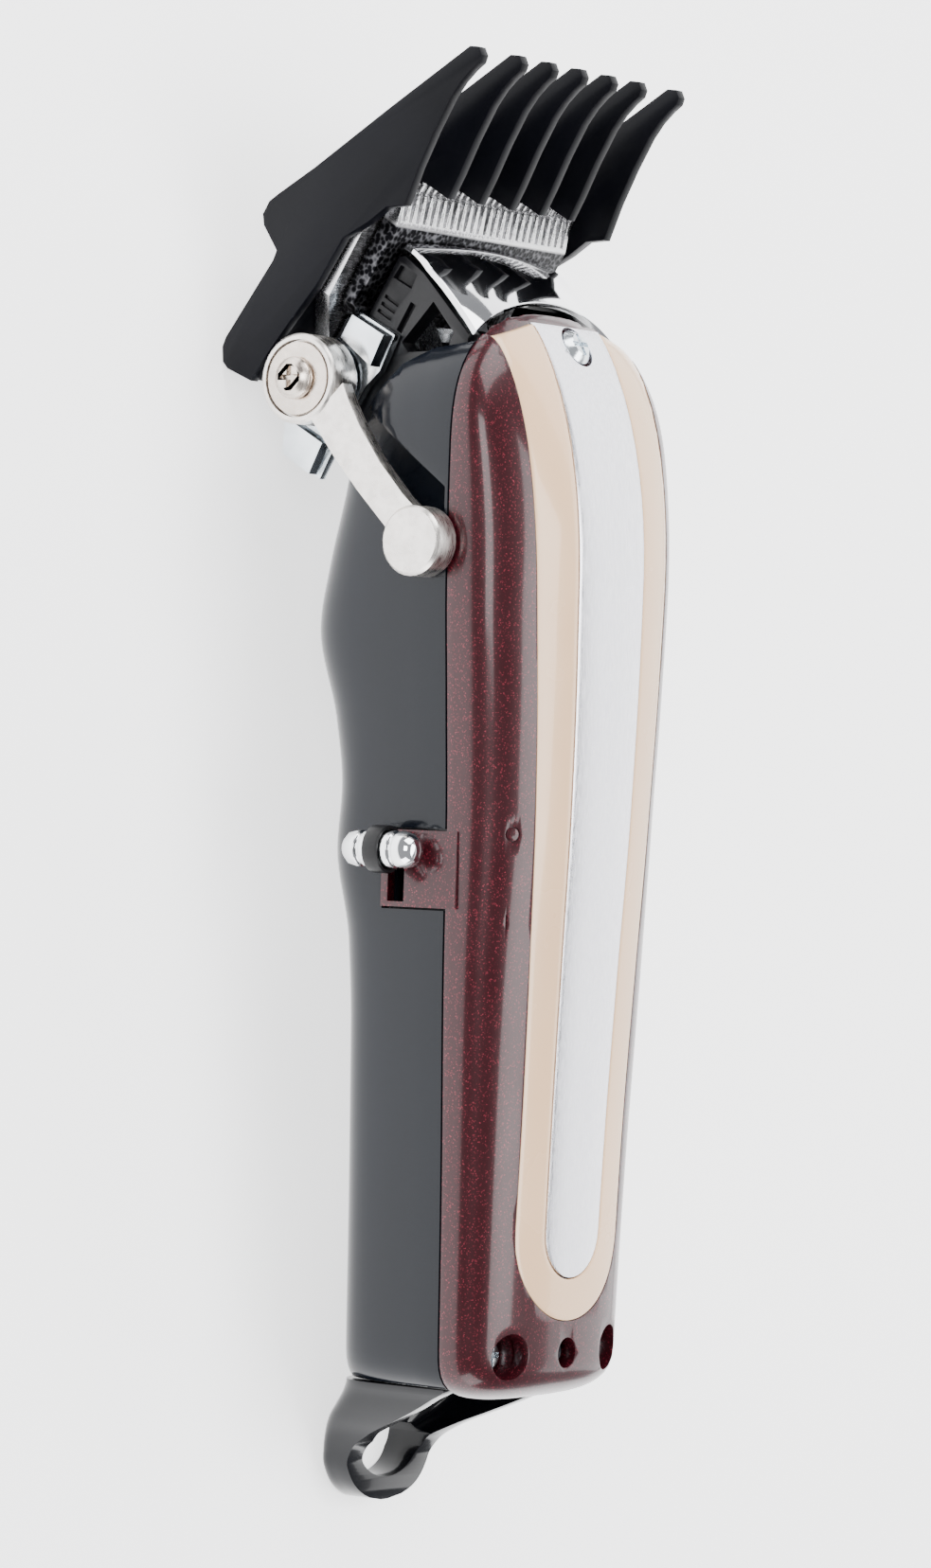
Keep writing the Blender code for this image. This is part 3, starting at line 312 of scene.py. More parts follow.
def flake_lacquer():
    """Deep burgundy lacquer with fine metal flakes under a clear coat."""
    made = Nodes("burgundy_flake", (0.045, 0.0025, 0.006), 0.34, 0.15)
    flakes = made.cells(6200)
    deep, bright = (0.027, 0.0010, 0.0036, 1), (0.24, 0.024, 0.042, 1)
    sparkle = made.ramp(flakes.outputs["Color"], deep, bright, 0.74, 1.0)
    made.feed(sparkle, "Base Color")
    made.vary_roughness(made.noise(60), 0.28, 0.40)
    made.bump(flakes.outputs["Distance"], 0.10, 0.00004)
    made.set("Specular IOR Level", 0.25)
    made.set("Coat Weight", 0.45)
    made.set("Coat Roughness", 0.11)
    return made.material


def gloss(name, colour, roughness, coat, mottle=0.12, specular=0.5):
    """Moulded gloss plastic: a faint flow mottle and orange peel."""
    made = Nodes(name, colour, roughness)
    made.set("Specular IOR Level", specular)
    made.shade(made.noise(28, 4), 1 - mottle, 1 + mottle)
    made.vary_roughness(made.noise(90), roughness * 0.8, roughness * 1.25)
    made.bump(made.noise(700, 2), 0.04, 0.00003)
    made.set("Coat Weight", coat)
    made.set("Coat Roughness", 0.05)
    return made.material


def matte(name, colour, roughness=0.42, grain=2600, specular=0.5):
    """Moulded plastic with a fine sparked grain."""
    made = Nodes(name, colour, roughness)
    made.set("Specular IOR Level", specular)
    made.shade(made.noise(40, 3), 0.8, 1.3)
    made.vary_roughness(made.noise(120), roughness * 0.82, roughness * 1.15)
    made.bump(made.noise(grain, 2), 0.12, 0.00004)
    return made.material


def metal(name, colour, roughness, stretch=(1, 1, 1), scale=500, bump=0.06):
    """Metal with a grain that runs along the axis the stretch leaves short."""
    made = Nodes(name, colour, roughness, 1.0)
    grain = made.noise(scale, 4, stretch)
    made.shade(grain, 0.86, 1.08)
    made.vary_roughness(grain, roughness * 0.75, roughness * 1.3)
    made.bump(grain, bump, 0.00003)
    return made.material


def cutter_steel():
    """Bright ground teeth ahead of a blackened, coarsely etched body."""
    made = Nodes("cutter_steel", (0.66, 0.66, 0.67), 0.26, 1.0)
    root = body(0, *BLADE_ZERO)
    teeth = made.along(root, BLADE_AXIS, -0.9, -0.5)
    scale_marks = made.cells(1500)
    dark, light = (0.004, 0.004, 0.005, 1), (0.14, 0.14, 0.15, 1)
    etched = made.ramp(scale_marks.outputs["Distance"], dark, light, 0.45, 0.95)
    ground = made.ramp(made.noise(1400, 4, (0.3, 6, 6)), (0.56, 0.56, 0.57, 1), (0.72, 0.72, 0.73, 1))
    made.feed(made.mix(teeth, etched, ground), "Base Color")
    made.feed(made.mix(teeth, (0.46, 0.46, 0.46, 1), (0.25, 0.25, 0.25, 1)), "Roughness")
    made.bump(scale_marks.outputs["Distance"], 0.35, 0.00012)
    return made.material


LID = flake_lacquer()
GOLD = gloss("pale_gold", (0.82, 0.53, 0.31), 0.24, 0.5, 0.04)
SILVER = metal("satin_silver", (0.88, 0.88, 0.94), 0.26, (6, 0.4, 6), 900, 0.03)
SLATE = gloss("slate_gloss", (0.0045, 0.0060, 0.0095), 0.18, 0.16, 0.10, 0.20)
LOOP = gloss("black_gloss", (0.0030, 0.0034, 0.0050), 0.18, 0.22, 0.15, 0.22)
BLACK = matte("black_plastic", (0.0035, 0.0035, 0.0045), 0.36, specular=0.3)
COMB = matte("comb_black", (0.0022, 0.0024, 0.0040), 0.36, 1900, specular=0.10)
CUTTER = cutter_steel()
CHROME = metal("bright_chrome", (0.90, 0.91, 0.93), 0.05, (1, 1, 1), 90, 0.01)
STEEL = metal("ground_steel", (0.66, 0.66, 0.67), 0.24, (0.3, 6, 6), 1400)
SPRING = metal("spring_steel", (0.50, 0.51, 0.53), 0.26, (6, 0.4, 6), 900)
ZINC = metal("bright_zinc", (0.74, 0.79, 0.83), 0.20, (1, 1, 1), 260)
NICKEL = metal("satin_nickel", (0.78, 0.74, 0.70), 0.30, (4, 0.6, 0.6), 1100)
WARM_NICKEL = metal("warm_nickel", (0.70, 0.62, 0.55), 0.26, (4, 0.6, 0.6), 1100)
BRASS = metal("machined_brass", (0.72, 0.52, 0.24), 0.28, (5, 1, 1), 900)
MOTOR_STEEL = metal("plated_motor_can", (0.52, 0.53, 0.55), 0.30, (1, 5, 5), 700)
GREY = matte("grey_plastic", (0.30, 0.31, 0.33), 0.45)
WRAP = gloss("cell_wrap", (0.03, 0.12, 0.30), 0.30, 0.4)
GREEN = matte("board_green", (0.012, 0.13, 0.05), 0.40, 900)
CLEAR = gloss("light_pipe", (0.025, 0.027, 0.032), 0.12, 0.7, 0.04)

# CAD nodes and the finish that each shows, with its slot in the record.
FINISHES = {
    "bottom_housing": (SLATE, "housing_gloss"),
    "lid": (LID, "lid_gloss"),
    "lid_band": (GOLD, "band_gold"),
    "lid_strip": (SILVER, "strip_silver"),
    "hanging_loop": (LOOP, "loop_gloss"),
    "nose_cover": (CHROME, "bright_chrome"),
    "nose_frame": (BLACK, "black_plastic"),
    "guide_comb": (COMB, "comb_plastic"),
    "fixed_blade": (STEEL, "blade_steel"),
    "cutter": (CUTTER, "blade_steel"),
    "cutter_spring": (SPRING, "spring_steel"),
    "blade_carriage": (ZINC, "zinc_plate"),
    "blade_screw_left": (ZINC, "zinc_screw"),
    "blade_screw_right": (ZINC, "zinc_screw"),
    "lever_plate": (ZINC, "zinc_plate"),
    "taper_lever": (NICKEL, "satin_nickel"),
    "lever_washer": (WARM_NICKEL, "satin_nickel"),
    "lever_screw": (WARM_NICKEL, "satin_nickel"),
    "lever_cam": (BRASS, "brass_bush"),
    "lever_spring_washer": (SPRING, "spring_steel"),
    "switch_barrel": (CHROME, "bright_chrome"),
    "switch_carrier": (BLACK, "black_plastic"),
    "drive_lever": (GREY, "grey_plastic"),
    "drive_pivot_pin": (SPRING, "spring_steel"),
    "motor_can": (MOTOR_STEEL, "motor_steel"),
    "motor_end_cap": (BLACK, "black_plastic"),
    "motor_shaft": (SPRING, "spring_steel"),
    "motor_crank": (BRASS, "brass_bush"),
    "motor_cradle": (BLACK, "black_plastic"),
    "li_ion_cell": (WRAP, "cell_wrap"),
    "circuit_board": (GREEN, "board_green"),
    "slide_switch": (BLACK, "black_plastic"),
    "charging_socket": (BLACK, "black_plastic"),
    "charge_light_pipe": (CLEAR, "light_pipe"),
    "lid_nose_screw": (ZINC, "zinc_screw"),
    "lid_tail_screw_left": (ZINC, "zinc_screw"),
    "lid_tail_screw_right": (ZINC, "zinc_screw"),
}
# Nodes that keep their shape but get rounded edges: node and edge width in millimetres.
EDGE_WIDTHS = {
    "nose_frame": 0.20,
    "guide_comb": 0.30,
    "fixed_blade": 0.06,
    "cutter": 0.06,
    "blade_carriage": 0.15,
    "lever_plate": 0.25,
    "taper_lever": 0.30,
    "lever_washer": 0.12,
    "lever_screw": 0.12,
    "switch_carrier": 0.20,
    "switch_barrel": 0.10,
    "lid_nose_screw": 0.12,
    "lid_tail_screw_left": 0.12,
    "lid_tail_screw_right": 0.12,
    "charging_socket": 0.15,
    "blade_screw_left": 0.12,
    "blade_screw_right": 0.12,
}
BODY_OF = {node: name for name, nodes in frame["record"]["behaviour"]["bodies"].items() for node in nodes}


# ---------------------------------------------------------------- mesh tools


def finish_mesh(name, bm, material, smooth_angle=SHARP_ANGLE):
    bmesh.ops.recalc_face_normals(bm, faces=bm.faces)
    mesh = bpy.data.meshes.new(name)
    bm.to_mesh(mesh)
    bm.free()
    mesh.shade_smooth()
    mesh.set_sharp_from_angle(angle=math.radians(smooth_angle))
    made = bpy.data.objects.new(name, mesh)
    if material:
        mesh.materials.append(material)
    SCENE.collection.objects.link(made)
    return made


def loft(name, rings, material=None):
    """Closed skin over rings of points, capped at both ends."""
    bm = bmesh.new()
    rows = [[bm.verts.new(point) for point in ring] for ring in rings]
    for one, two in zip(rows, rows[1:]):
        for k in range(len(one)):
            following = (k + 1) % len(one)
            bm.faces.new((one[k], one[following], two[following], two[k]))
    bm.faces.new(rows[0])
    bm.faces.new(rows[-1])
    return finish_mesh(name, bm, material)


def rod(name, radius, centre, axis, start, end, material=None, segments=64):
    return turned(name, [(radius, start), (radius, end)], centre, axis, material, segments)


def turned(name, profile, centre, axis, material=None, segments=64):
    """Solid of revolution. profile: (radius, distance along the axis) from one end to the other."""
    turn = Vector((0, 0, 1)).rotation_difference(axis).to_matrix().to_4x4()
    place = Matrix.Translation(centre) @ turn
    bm = bmesh.new()
    rings = []
    for radius, along in profile:
        if radius < 1e-6:
            rings.append([bm.verts.new(place @ Vector((0, 0, along * MM)))])
            continue
        angles = [2 * math.pi * k / segments for k in range(segments)]
        points = [Vector((radius * math.cos(a), radius * math.sin(a), along)) * MM for a in angles]
        rings.append([bm.verts.new(place @ point) for point in points])
    for one, two in zip(rings, rings[1:]):
        for k in range(segments):
            corners = (one[k % len(one)], one[(k + 1) % len(one)], two[(k + 1) % len(two)], two[k % len(two)])
            bm.faces.new(list(dict.fromkeys(corners)))
    for end in (rings[0], rings[-1]):
        if len(end) > 1:
            bm.faces.new(end)
    return finish_mesh(name, bm, material)


def block(name, low, high):
    """Box between two corners of the body frame."""
    corners = [(low[1], low[2]), (high[1], low[2]), (high[1], high[2]), (low[1], high[2])]
    return loft(name, [[body(x, t, v) for t, v in corners] for x in (low[0], high[0])])


def apply_modifiers(piece):
    """Replaces the piece's mesh by what its modifiers make of it."""
    graph = bpy.context.evaluated_depsgraph_get()
    graph.update()
    made = bpy.data.meshes.new_from_object(piece.evaluated_get(graph))
    old = piece.data
    piece.modifiers.clear()
    piece.data = made
    bpy.data.meshes.remove(old)
    return piece


def combine(piece, operation, tools):
    """Boolean with each tool in turn; the tools are then removed."""
    for tool in tools:
        modifier = piece.modifiers.new(tool.name, "BOOLEAN")
        modifier.operation = operation
        modifier.object = tool
    apply_modifiers(piece)
    for tool in tools:
        bpy.data.objects.remove(tool, do_unlink=True)
    return piece


def soften(piece, width, segments=2, angle=SHARP_ANGLE):
    """Rounds the sharp edges, so that they catch the light."""
    bevel = piece.modifiers.new("soften", "BEVEL")
    bevel.width = width * MM
    bevel.segments = segments
    bevel.limit_method = "ANGLE"
    bevel.angle_limit = math.radians(angle)
    apply_modifiers(piece)
    piece.data.shade_smooth()
    piece.data.set_sharp_from_angle(angle=math.radians(angle))
    return piece


def stand_for(piece, node):
    """Puts a finished piece in the place of its CAD node."""
    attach(piece, BODY_OF[node])
    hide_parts(node)
    return piece


def refined(node):
    """The node's shape as clean faces with rounded edges."""
    bm = bmesh.new()
    bm.from_mesh(NODES[node].data)
    bmesh.ops.remove_doubles(bm, verts=bm.verts, dist=0.000002)
    flat = math.radians(0.6)
    bmesh.ops.dissolve_limit(bm, angle_limit=flat, verts=bm.verts, edges=bm.edges)
    piece = finish_mesh(f"{node}_fine", bm, FINISHES[node][0])
    soften(piece, EDGE_WIDTHS[node])
    return stand_for(piece, node)


# ---------------------------------------------------------------- shells


def dome_ring(t, width, height, base, count=64):
    """Section of the lid: a half superellipse over a level base."""
    points = []
    for k in range(count + 1):
        angle = math.pi * k / count
        cos, sin = math.cos(angle), abs(math.sin(angle))
        x = width * math.copysign(abs(cos) ** (2 / LID_POWER), cos)
        points.append(body(x, t, base + (height - base) * sin ** (2 / LID_POWER)))
    return points


def bowl_ring(t, width, depth, top, power=HOUSING_POWER, count=64):
    """Section of the housing: a half superellipse under a level top."""
    points = []
    for k in range(count + 1):
        angle = math.pi * k / count
        cos, sin = math.cos(angle), abs(math.sin(angle))
        x = width * math.copysign(abs(cos) ** (2 / power), cos)
        points.append(body(x, t, top - (depth + top) * sin ** (2 / power)))
    return points


NOSE_SCREW_AXIS = TURN.to_3x3() @ Vector((0, -math.sin(NOSE_SCREW_LEAN), math.cos(NOSE_SCREW_LEAN)))
NOSE_SCREW_AT = body(0, NOSE_SCREW_T, NOSE_SCREW_V)


def nose_recess(owner):
    return rod(f"nose_recess_{owner}", 3.1, NOSE_SCREW_AT, NOSE_SCREW_AXIS, -0.2, 8)


def inlay_bed():
    """Room for the inlays in the lid's crown."""
    rows = []
    tail = BAND_TAIL - 0.1
    centre = tail + curve(BAND_OUTER, tail)
    stations = [tail + d for d in (0.06, 0.25, 0.6, 1.1, 1.8, 2.7, 4, 5.5, 7.5, 10)]
    stations += spread(tail + 13, 137, 4) + [139, 141, 143, 144.5, 146.5, 148.2, 151]
    for t in stations:
        half = curve(BAND_OUTER, t)
        if t < centre:
            half *= math.sqrt(max(0.002, 1 - ((centre - t) / (centre - tail)) ** 2))
        half += 0.1
        across = [half * k / 8 for k in range(-8, 9)]
        top = [on_lid(x, t, 2.0) for x in across]
        bottom = [on_lid(x, t, -INLAY_DEPTH - 0.3) for x in reversed(across)]
        rows.append(top + bottom)
    return loft("inlay_bed", rows)


def make_lid():
    stations = [0.1, 0.25, 0.5, 0.9, 1.4, 2.0, 2.8, 3.8, 5, 6.4, 8] + spread(11, 125, 3)
    stations += spread(128, 141, 1.5) + [142.5, 144, 145.2, 146.2, 147, 147.6, 148.1, 148.5, 148.75, 148.9]
    rings = [dome_ring(t, half_width(t), max(crown(t), SEAM + 0.25), SEAM) for t in stations]
    lid = loft("lid_fine", rings, LID)
    inside = [2.2, 3, 4.5, 7] + spread(12, 132, 6) + [135, 138]
    hollow = [dome_ring(t, half_width(t) - WALL, max(crown(t) - WALL, 1.0), -2.0, 24) for t in inside]
    combine(lid, "DIFFERENCE", [loft("lid_hollow", hollow)])
    bosses = []
    for side, x in TAIL_SIDES:
        bosses.append(rod(f"boss_{side}", 3.9, body(x, TAIL_HOLE_T, 0), V_AXIS, SEAM, 5.4))
    tab = block("switch_tab", (19.35, 66.7, -10.3), (21.0, 77.1, 2.0))
    combine(lid, "UNION", bosses + [tab])
    cutters = [block("tab_slot", (15, 67.4, -9.2), (30, 76.4, -6.5))]
    for side, x in TAIL_SIDES:
        cutters.append(rod(f"recess_{side}", 3.15, body(x, TAIL_HOLE_T, 0), V_AXIS, 2.2, 12))
        cutters.append(rod(f"bore_{side}", 1.6, body(x, TAIL_HOLE_T, 0), V_AXIS, -1, 4))
    cutters.append(rod("light_bore", 2.1, body(0, TAIL_HOLE_T, 0), V_AXIS, -1, 12))
    cutters.append(inlay_bed())
    cutters.append(nose_recess("lid"))
    cutters.append(rod("nose_bore", 1.7, NOSE_SCREW_AT, NOSE_SCREW_AXIS, -12, 2))
    combine(lid, "DIFFERENCE", cutters)
    combine(lid, "DIFFERENCE", switch_marks())
    soften(lid, 0.14)
    return stand_for(lid, "lid")


def switch_marks():
    """Engraved O and I beside the switch, which stand for off and on."""
    tools = []
    for name, t in (("off", SWITCH_T + 2.6), ("on", SWITCH_T - 9.2)):
        centre = on_lid(MARK_X, t, 0)
        rise = (on_lid(MARK_X + 0.3, t, 0) - on_lid(MARK_X - 0.3, t, 0)).normalized()
        outward = rise.cross(T_AXIS)
        if outward.dot(V_AXIS) < 0:
            outward = -outward
        outward.normalize()
        if name == "off":
            ring = [(1.05, -MARK_DEPTH), (1.05, 1.0), (0.85, 1.0), (0.85, -MARK_DEPTH), (1.05, -MARK_DEPTH)]
            tools.append(ring_tool(name, ring, centre, outward))
        else:
            along, across = T_AXIS * 0.95 * MM, rise * 0.12 * MM
            corners = [(-1, -1), (1, -1), (1, 1), (-1, 1)]
            levels = (-MARK_DEPTH * MM, 1.0 * MM)
            rings = [[centre + along * a + across * b + outward * h for a, b in corners] for h in levels]
            tools.append(loft("mark_on", rings))
    return tools


def ring_tool(name, section, centre, axis, segments=48):
    """Closed ring swept from a section of (radius, height) whose last point is its first."""
    turn = Vector((0, 0, 1)).rotation_difference(axis).to_matrix()
    bm = bmesh.new()
    rows = []
    for radius, height in section[:-1]:
        angles = [2 * math.pi * k / segments for k in range(segments)]
        points = [Vector((radius * math.cos(a), radius * math.sin(a), height)) * MM for a in angles]
        rows.append([bm.verts.new(centre + turn @ point) for point in points])
    for k, one in enumerate(rows):
        two = rows[(k + 1) % len(rows)]
        for i in range(segments):
            j = (i + 1) % segments
            bm.faces.new((one[i], one[j], two[j], two[i]))
    return finish_mesh(f"mark_{name}", bm, None)


def make_band():
    """Pale gold U, open at the nose: a strip swept round the lid's crown."""
    side = [145.2, 144.2, 143, 141.5] + spread(140, 30, 3.5)
    down = [((curve(BAND_INNER, t) + INLAY_GAP, t), (curve(BAND_OUTER, t), t)) for t in side]
    down[0] = ((down[0][0][0], 146.2), (down[0][1][0], 143.8))
    down[1] = ((down[1][0][0], 144.6), (down[1][1][0], 143.2))
    down[2] = ((down[2][0][0], 143.1), (down[2][1][0], 142.5))
    inner, outer = curve(BAND_INNER, 20) + INLAY_GAP, curve(BAND_OUTER, 20)
    bend_t = BAND_TAIL + outer
    bend = []
    for k in range(65):
        angle = math.pi * k / 64
        cos, sin = math.cos(angle), math.sin(angle)
        bend.append(((inner * cos, bend_t - inner * sin), (outer * cos, bend_t - outer * sin)))
    up = [((-a[0], a[1]), (-b[0], b[1])) for a, b in reversed(down)]
    rings = []
    for (x_in, t_in), (x_out, t_out) in down + bend + up:
        shares = [k / 8 for k in range(9)]
        plan = [(x_in + (x_out - x_in) * s, t_in + (t_out - t_in) * s) for s in shares]
        top = [on_lid(x, t, 0.0) for x, t in plan]
        bottom = [on_lid(x, t, -INLAY_DEPTH) for x, t in reversed(plan)]
        rings.append(top + bottom)
    band = loft("lid_band_fine", rings, GOLD)
    soften(band, 0.12)
    return stand_for(band, "lid_band")


def make_strip():
    inner = [(t, a - INLAY_GAP) for t, a in BAND_INNER]
    radius = curve(inner, 20)
    tail = BAND_TAIL + curve(BAND_OUTER, 20) - radius
    rows = []
    stations = [tail + d for d in (0.02, 0.1, 0.25, 0.5, 0.9, 1.4, 2, 2.8, 3.8, 5, 6.4)]
    for t in stations + spread(30, 141, 3.5) + [142.5, 144, 145.2, 146.4]:
        half = curve(inner, t)
        if t < tail + radius:
            half *= math.sqrt(1 - ((tail + radius - t) / radius) ** 2)
        across = [half * k / 8 for k in range(-8, 9)]
        top = [on_lid(x, t, 0.03) for x in across]
        bottom = [on_lid(x, t, -INLAY_DEPTH) for x in reversed(across)]
        rows.append(top + bottom)
    strip = loft("lid_strip_fine", rows, SILVER)
    combine(strip, "DIFFERENCE", [nose_recess("strip")])
    soften(strip, 0.10)
    return stand_for(strip, "lid_strip")


def cavity_half(t):
    plain = curve(HALF_WIDTHS, t) * rounding(max(t, 3.0), TAIL_CORNER, 3.5) - WALL
    return min(plain, HEAD_CAVITY_HALF) if t > 100 else plain


def side_prism(name, outline, x0, x1):
    """Outline in (t, v), extruded across the body."""
    return loft(name, [[body(x, t, v) for t, v in outline] for x in (x0, x1)])


def make_housing():
    stations = [HOUSING_TAIL, 2.6, 3.5, 4.6, 6, 8, 10] + spread(13, 50, 4) + spread(52, 128, 1.5)
    stations += spread(129.5, 142, 2) + [144]
    rings = [bowl_ring(t, half_width(t), curve(BACK_DEPTHS, t), -SEAM) for t in stations]
    housing = loft("bottom_housing_fine", rings, SLATE)
    inside = [HOUSING_TAIL + WALL, 6, 10] + spread(16, 60, 6) + spread(64, 128, 4) + [132, 150]
    hollow = [bowl_ring(t, cavity_half(t), curve(BACK_DEPTHS, t) - WALL, 3.0, count=24) for t in inside]
    combine(housing, "DIFFERENCE", [loft("housing_hollow", hollow)])
    front = [(146, 2), (143.4, 2), (143.0, -1), (142.2, -6), (140, -10.3), (135.3, -14.4), (131, -17.5)]
    front += [(127.5, -21), (126.5, -26), (126.5, -40), (146, -40)]
    recess = [(134.5, -15.8), (129.4, -8.8), (123.2, -0.6), (118.4, -0.6), (119.6, -5.5), (123, -9.5)]
    recess += [(125.5, -16.5), (127.5, -23), (133, -23)]
    bed = [(120.9, -19.1), (126.7, -19.1), (126.9, -27), (150, -27), (150, 3), (120.9, 3)]
    cutters = [
        side_prism("front", front, -30, 30),
        side_prism("recess", recess, 18.9, 30),
        side_prism("bed", bed, -HEAD_CAVITY_HALF, HEAD_CAVITY_HALF),
        block("tab_notch", (19.0, 66.4, -10.6), (30, 77.4, 3)),
        block("switch_slot", (12, 67.4, -9.2), (30, 76.4, -6.5)),
        rod("socket_hole", 4.4, body(0, HOUSING_TAIL, SOCKET_V), T_AXIS, -3, 6),
    ]
    combine(housing, "DIFFERENCE", cutters)
    soften(housing, 0.18)
    return stand_for(housing, "bottom_housing")


def loop_ring(t, width, back, top, count=48):
    """Section with an upright side from top down to a rounded back."""
    middle = max(back + 3.2, min(top - 0.4, back + 0.62 * (top - back)))
    points = [body(width, t, top)]
    depth = middle - back
    for k in range(count + 1):
        angle = math.pi * k / count
        cos, sin = math.cos(angle), math.sin(angle)
        x = width * math.copysign(abs(cos) ** 0.45, cos)
        points.append(body(x, t, middle - depth * abs(sin) ** 0.55))
    points.append(body(-width, t, top))
    return points


def eased(stations, step=0.5):
    """Rows of the loop between its listed stations, along smooth curves."""
    columns = [sorted((-row[0], row[k]) for row in stations) for k in (1, 2, 3)]
    end = -stations[-1][0]
    places = spread(-stations[0][0], end, step)
    return [(-p, *(curve(column, p) for column in columns)) for p in places]


def make_loop():
    stations = [
        (1.7, half_width(HOUSING_TAIL), -20.6, -0.5),
        (0.0, 15.1, -21.4, -3.4),
        (-2.0, 14.1, -22.9, -7.2),
        (-4.0, 12.9, -24.5, -11.6),
        (-6.2, 11.4, -25.6, -16.4),
        (-8.5, 10.4, -26.1, -19.6),
        (-11.0, 9.6, -26.4, -20.8),
        (-12.4, 8.8, -26.4, -20.8),
        (-13.6, 7.8, -26.4, -20.8),
        (-14.6, 6.5, -26.4, -20.8),
        (-15.4, 4.9, -26.4, -20.9),
        (-15.9, 3.4, -26.4, -21.0),
        (-16.2, 1.8, -26.3, -21.1),
        (-16.3, 0.8, -26.3, -21.2),
    ]
    loop = loft("hanging_loop_fine", [loop_ring(*row) for row in eased(stations)], LOOP)
    trough = [(2.5, 13.6, -18.4, 1), (0, 13.0, -19.0, 1), (-2, 12.0, -20.4, 1), (-4, 10.8, -21.6, 1)]
    trough += [(-6, 9.4, -22.4, 1), (-7.6, 7.4, -22.6, 1)]
    eye = [(6.9, -7.4), (6.3, -6.2), (5.0, -5.6), (-5.0, -5.6), (-6.3, -6.2), (-6.9, -7.4)]
    for k in range(41):
        angle = math.pi * k / 40
        eye.append((-6.9 * math.cos(angle), -8.2 - 4.9 * math.sin(angle)))
    hole = loft("loop_eye", [[body(x, t, v) for x, t in eye] for v in (-32, -12)])
    low = CAD_BOX[0].z
    table = [(-0.05, 0.05), (0.05, 0.05), (0.05, 0.15), (-0.05, 0.15)]
    slab = loft("table_plane", [[Vector((x, y, low - d)) for x, y in table] for d in (0.0, 0.02)])
    combine(loop, "DIFFERENCE", [loft("trough", [loop_ring(*row) for row in trough]), hole, slab])
    soften(loop, 0.30, 3)
    return stand_for(loop, "hanging_loop")


def nose_edge(x):
    """t of the lid's front rim above a given x."""
    share = min(0.98, abs(x) / HALF_WIDTHS[-1][1])
    return NOSE_WIDTH_START + (NOSE_END - NOSE_WIDTH_START) * (1 - share**2) ** (1 / 3)


def make_nose_cover():
    """Bright plate from the lid's front rim down to the back of the cutter."""
    steps = 32
    columns = [COVER_HALF * k / steps for k in range(-steps, steps + 1)]
    rings = []
    for share in spread(0, 1, 0.06) + spread(1.1, 2, 0.1):
        upper, lower = [], []
        for x in columns:
            t, v = cover_point(x, share)
            upper.append(body(x, t, v))
            lower.append(body(x, t - COVER_THICK, v - COVER_THICK))
        rings.append(upper + lower[::-1])
    cover = loft("nose_cover_fine", rings, CHROME)
    soften(cover, 0.12, angle=15)
    return stand_for(cover, "nose_cover")


def cover_point(x, share):
    """(t, v) on the nose cover: the lid's rim at share 0, its ridge at 1 and its front end at 2."""
    side = (x / COVER_HALF) ** 2
    rim = (nose_edge(x) + 0.75, -0.35)
    ridge = (COVER_RIDGE[0] - 2.7 * side, COVER_RIDGE[1])
    foot = (COVER_FOOT[0] - 0.8 * side, COVER_FOOT[1])
    start, end, along = (rim, ridge, share) if share <= 1 else (ridge, foot, share - 1)
    bulge = 0.8 * along * (1 - along)
    return tuple(a + (b - a) * along + bulge for a, b in zip(start, end))


make_lid()
make_band()
make_strip()
make_housing()
make_loop()
make_nose_cover()
for node_name in EDGE_WIDTHS:
    refined(node_name)
for node_name, (finish, slot_name) in FINISHES.items():
    node_object = NODES[node_name]
    node_object.data.materials.clear()
    node_object.data.materials.append(finish)
    if not node_object.hide_render:
        node_object.data.shade_smooth()
        node_object.data.set_sharp_from_angle(angle=math.radians(SHARP_ANGLE))


# ---------------------------------------------------------------- stage


def make_floor():
    made = Nodes("pale_floor", (0.93, 0.93, 0.94), 0.7)
    made.shade(made.noise(6, 3), 0.985, 1.01)
    made.set("Emission Color", (1, 1, 1, 1))
    made.set("Emission Strength", 1.6)
    bm = bmesh.new()
    bmesh.ops.create_grid(bm, x_segments=FLOOR_STEPS, y_segments=FLOOR_STEPS, size=FLOOR_REACH)
    floor = finish_mesh("floor", bm, made.material)
    floor.location.z = CAD_BOX[0].z - 0.0002


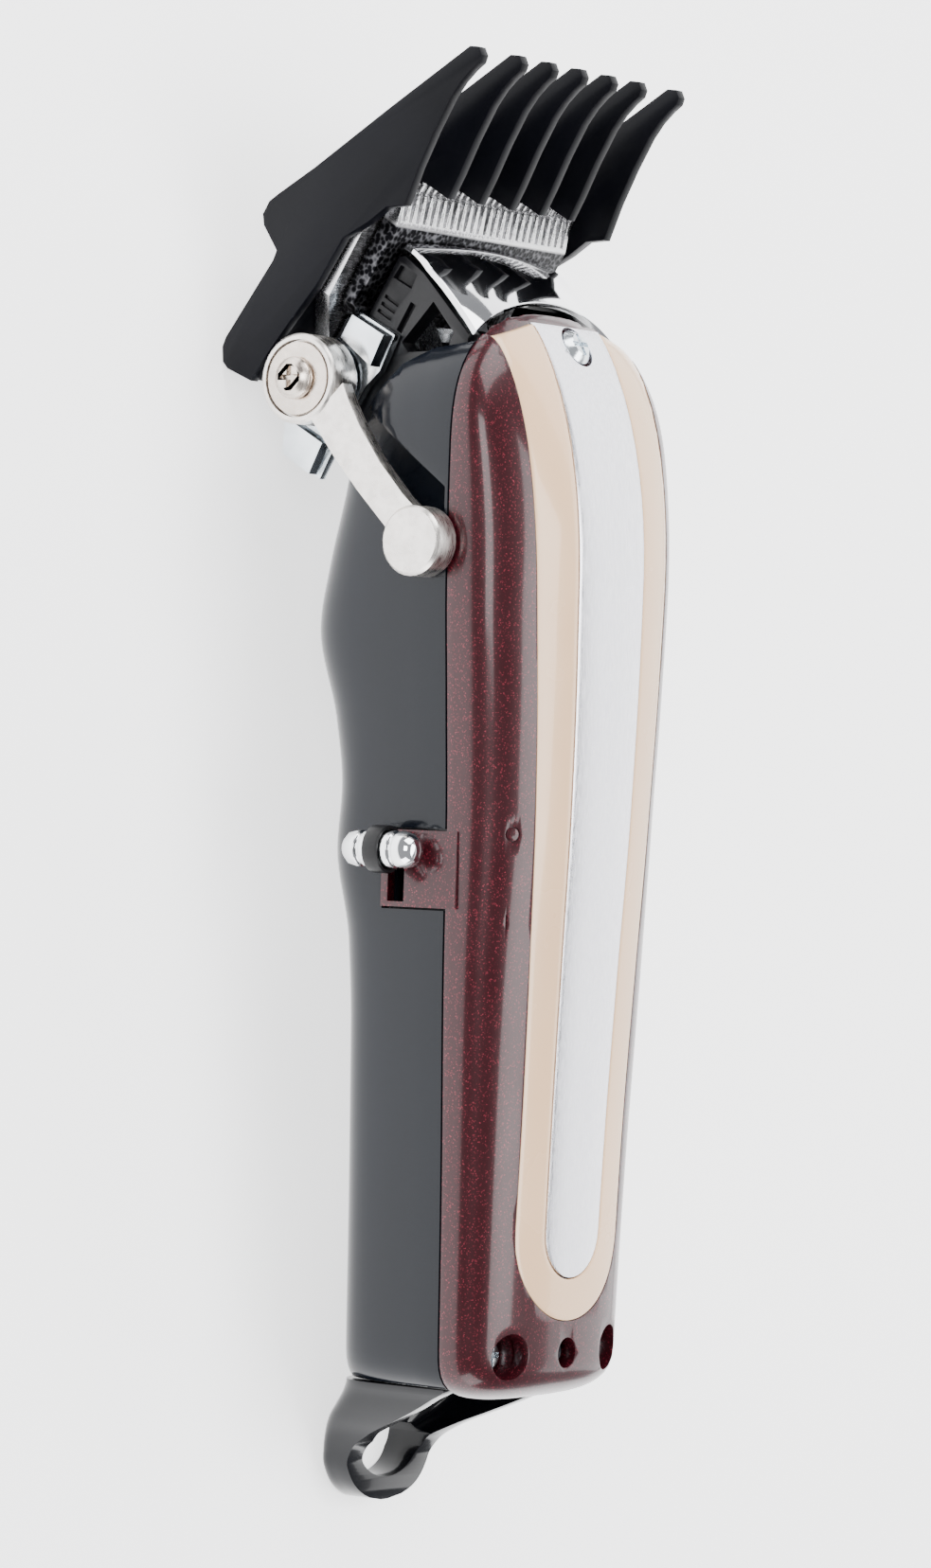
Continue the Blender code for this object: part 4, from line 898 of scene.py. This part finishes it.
def soft_light(name, place, aim, size, power):
    """Rectangular light that looks from a body-frame place at a body-frame point."""
    data = bpy.data.lights.new(name, "AREA")
    data.shape = "RECTANGLE"
    data.size, data.size_y = size
    data.energy = power
    light = bpy.data.objects.new(name, data)
    SCENE.collection.objects.link(light)
    light.location = body(*place)
    light.rotation_euler = (body(*aim) - light.location).to_track_quat("-Z", "Y").to_euler()
    light.visible_camera = False


def make_lights():
    middle = (0, 80, -5)
    soft_light("far_side_wrap", (-560, 260, 225), middle, (1.25, 0.48), 5.5)
    soft_light("over_lid", (-120, 60, 560), middle, (0.50, 0.30), 4.0)
    soft_light("lever_side", (480, 200, 330), middle, (0.30, 0.16), 1.6)
    soft_light("blade_end", (60, 560, 260), middle, (0.45, 0.30), 3.0)
    soft_light("tail_end", (160, -420, 140), middle, (0.35, 0.25), 1.6)
    world = bpy.data.worlds.new("pale_studio")
    world.use_nodes = True
    sky = world.node_tree.nodes["Background"]
    sky.inputs["Color"].default_value = (0.95, 0.96, 1.0, 1)
    sky.inputs["Strength"].default_value = 0.42
    SCENE.world = world


def make_camera():
    cos, sin = math.cos(CAMERA_AZIMUTH), math.sin(CAMERA_AZIMUTH)
    flat_right, flat_up = Vector((-cos, 0, sin)), Vector((0, -1, 0))
    right = flat_right * math.cos(CAMERA_ROLL) + flat_up * math.sin(CAMERA_ROLL)
    up = flat_up * math.cos(CAMERA_ROLL) - flat_right * math.sin(CAMERA_ROLL)
    back = right.cross(up)
    aimed = Vector((0, -CAMERA_TARGET_T, 0))
    place = aimed - right * CAMERA_AIM[0] - up * CAMERA_AIM[1] + back * CAMERA_DISTANCE
    data = bpy.data.cameras.new("camera")
    data.sensor_width = 36
    data.lens = CAMERA_LENS
    data.clip_start, data.clip_end = 0.01, 20
    camera = bpy.data.objects.new("camera", data)
    SCENE.collection.objects.link(camera)
    turn = Matrix((right, up, back)).transposed().to_4x4()
    camera.matrix_world = PLACE @ Matrix.Translation(place * MM) @ turn
    SCENE.camera = camera


make_floor()
make_lights()
make_camera()
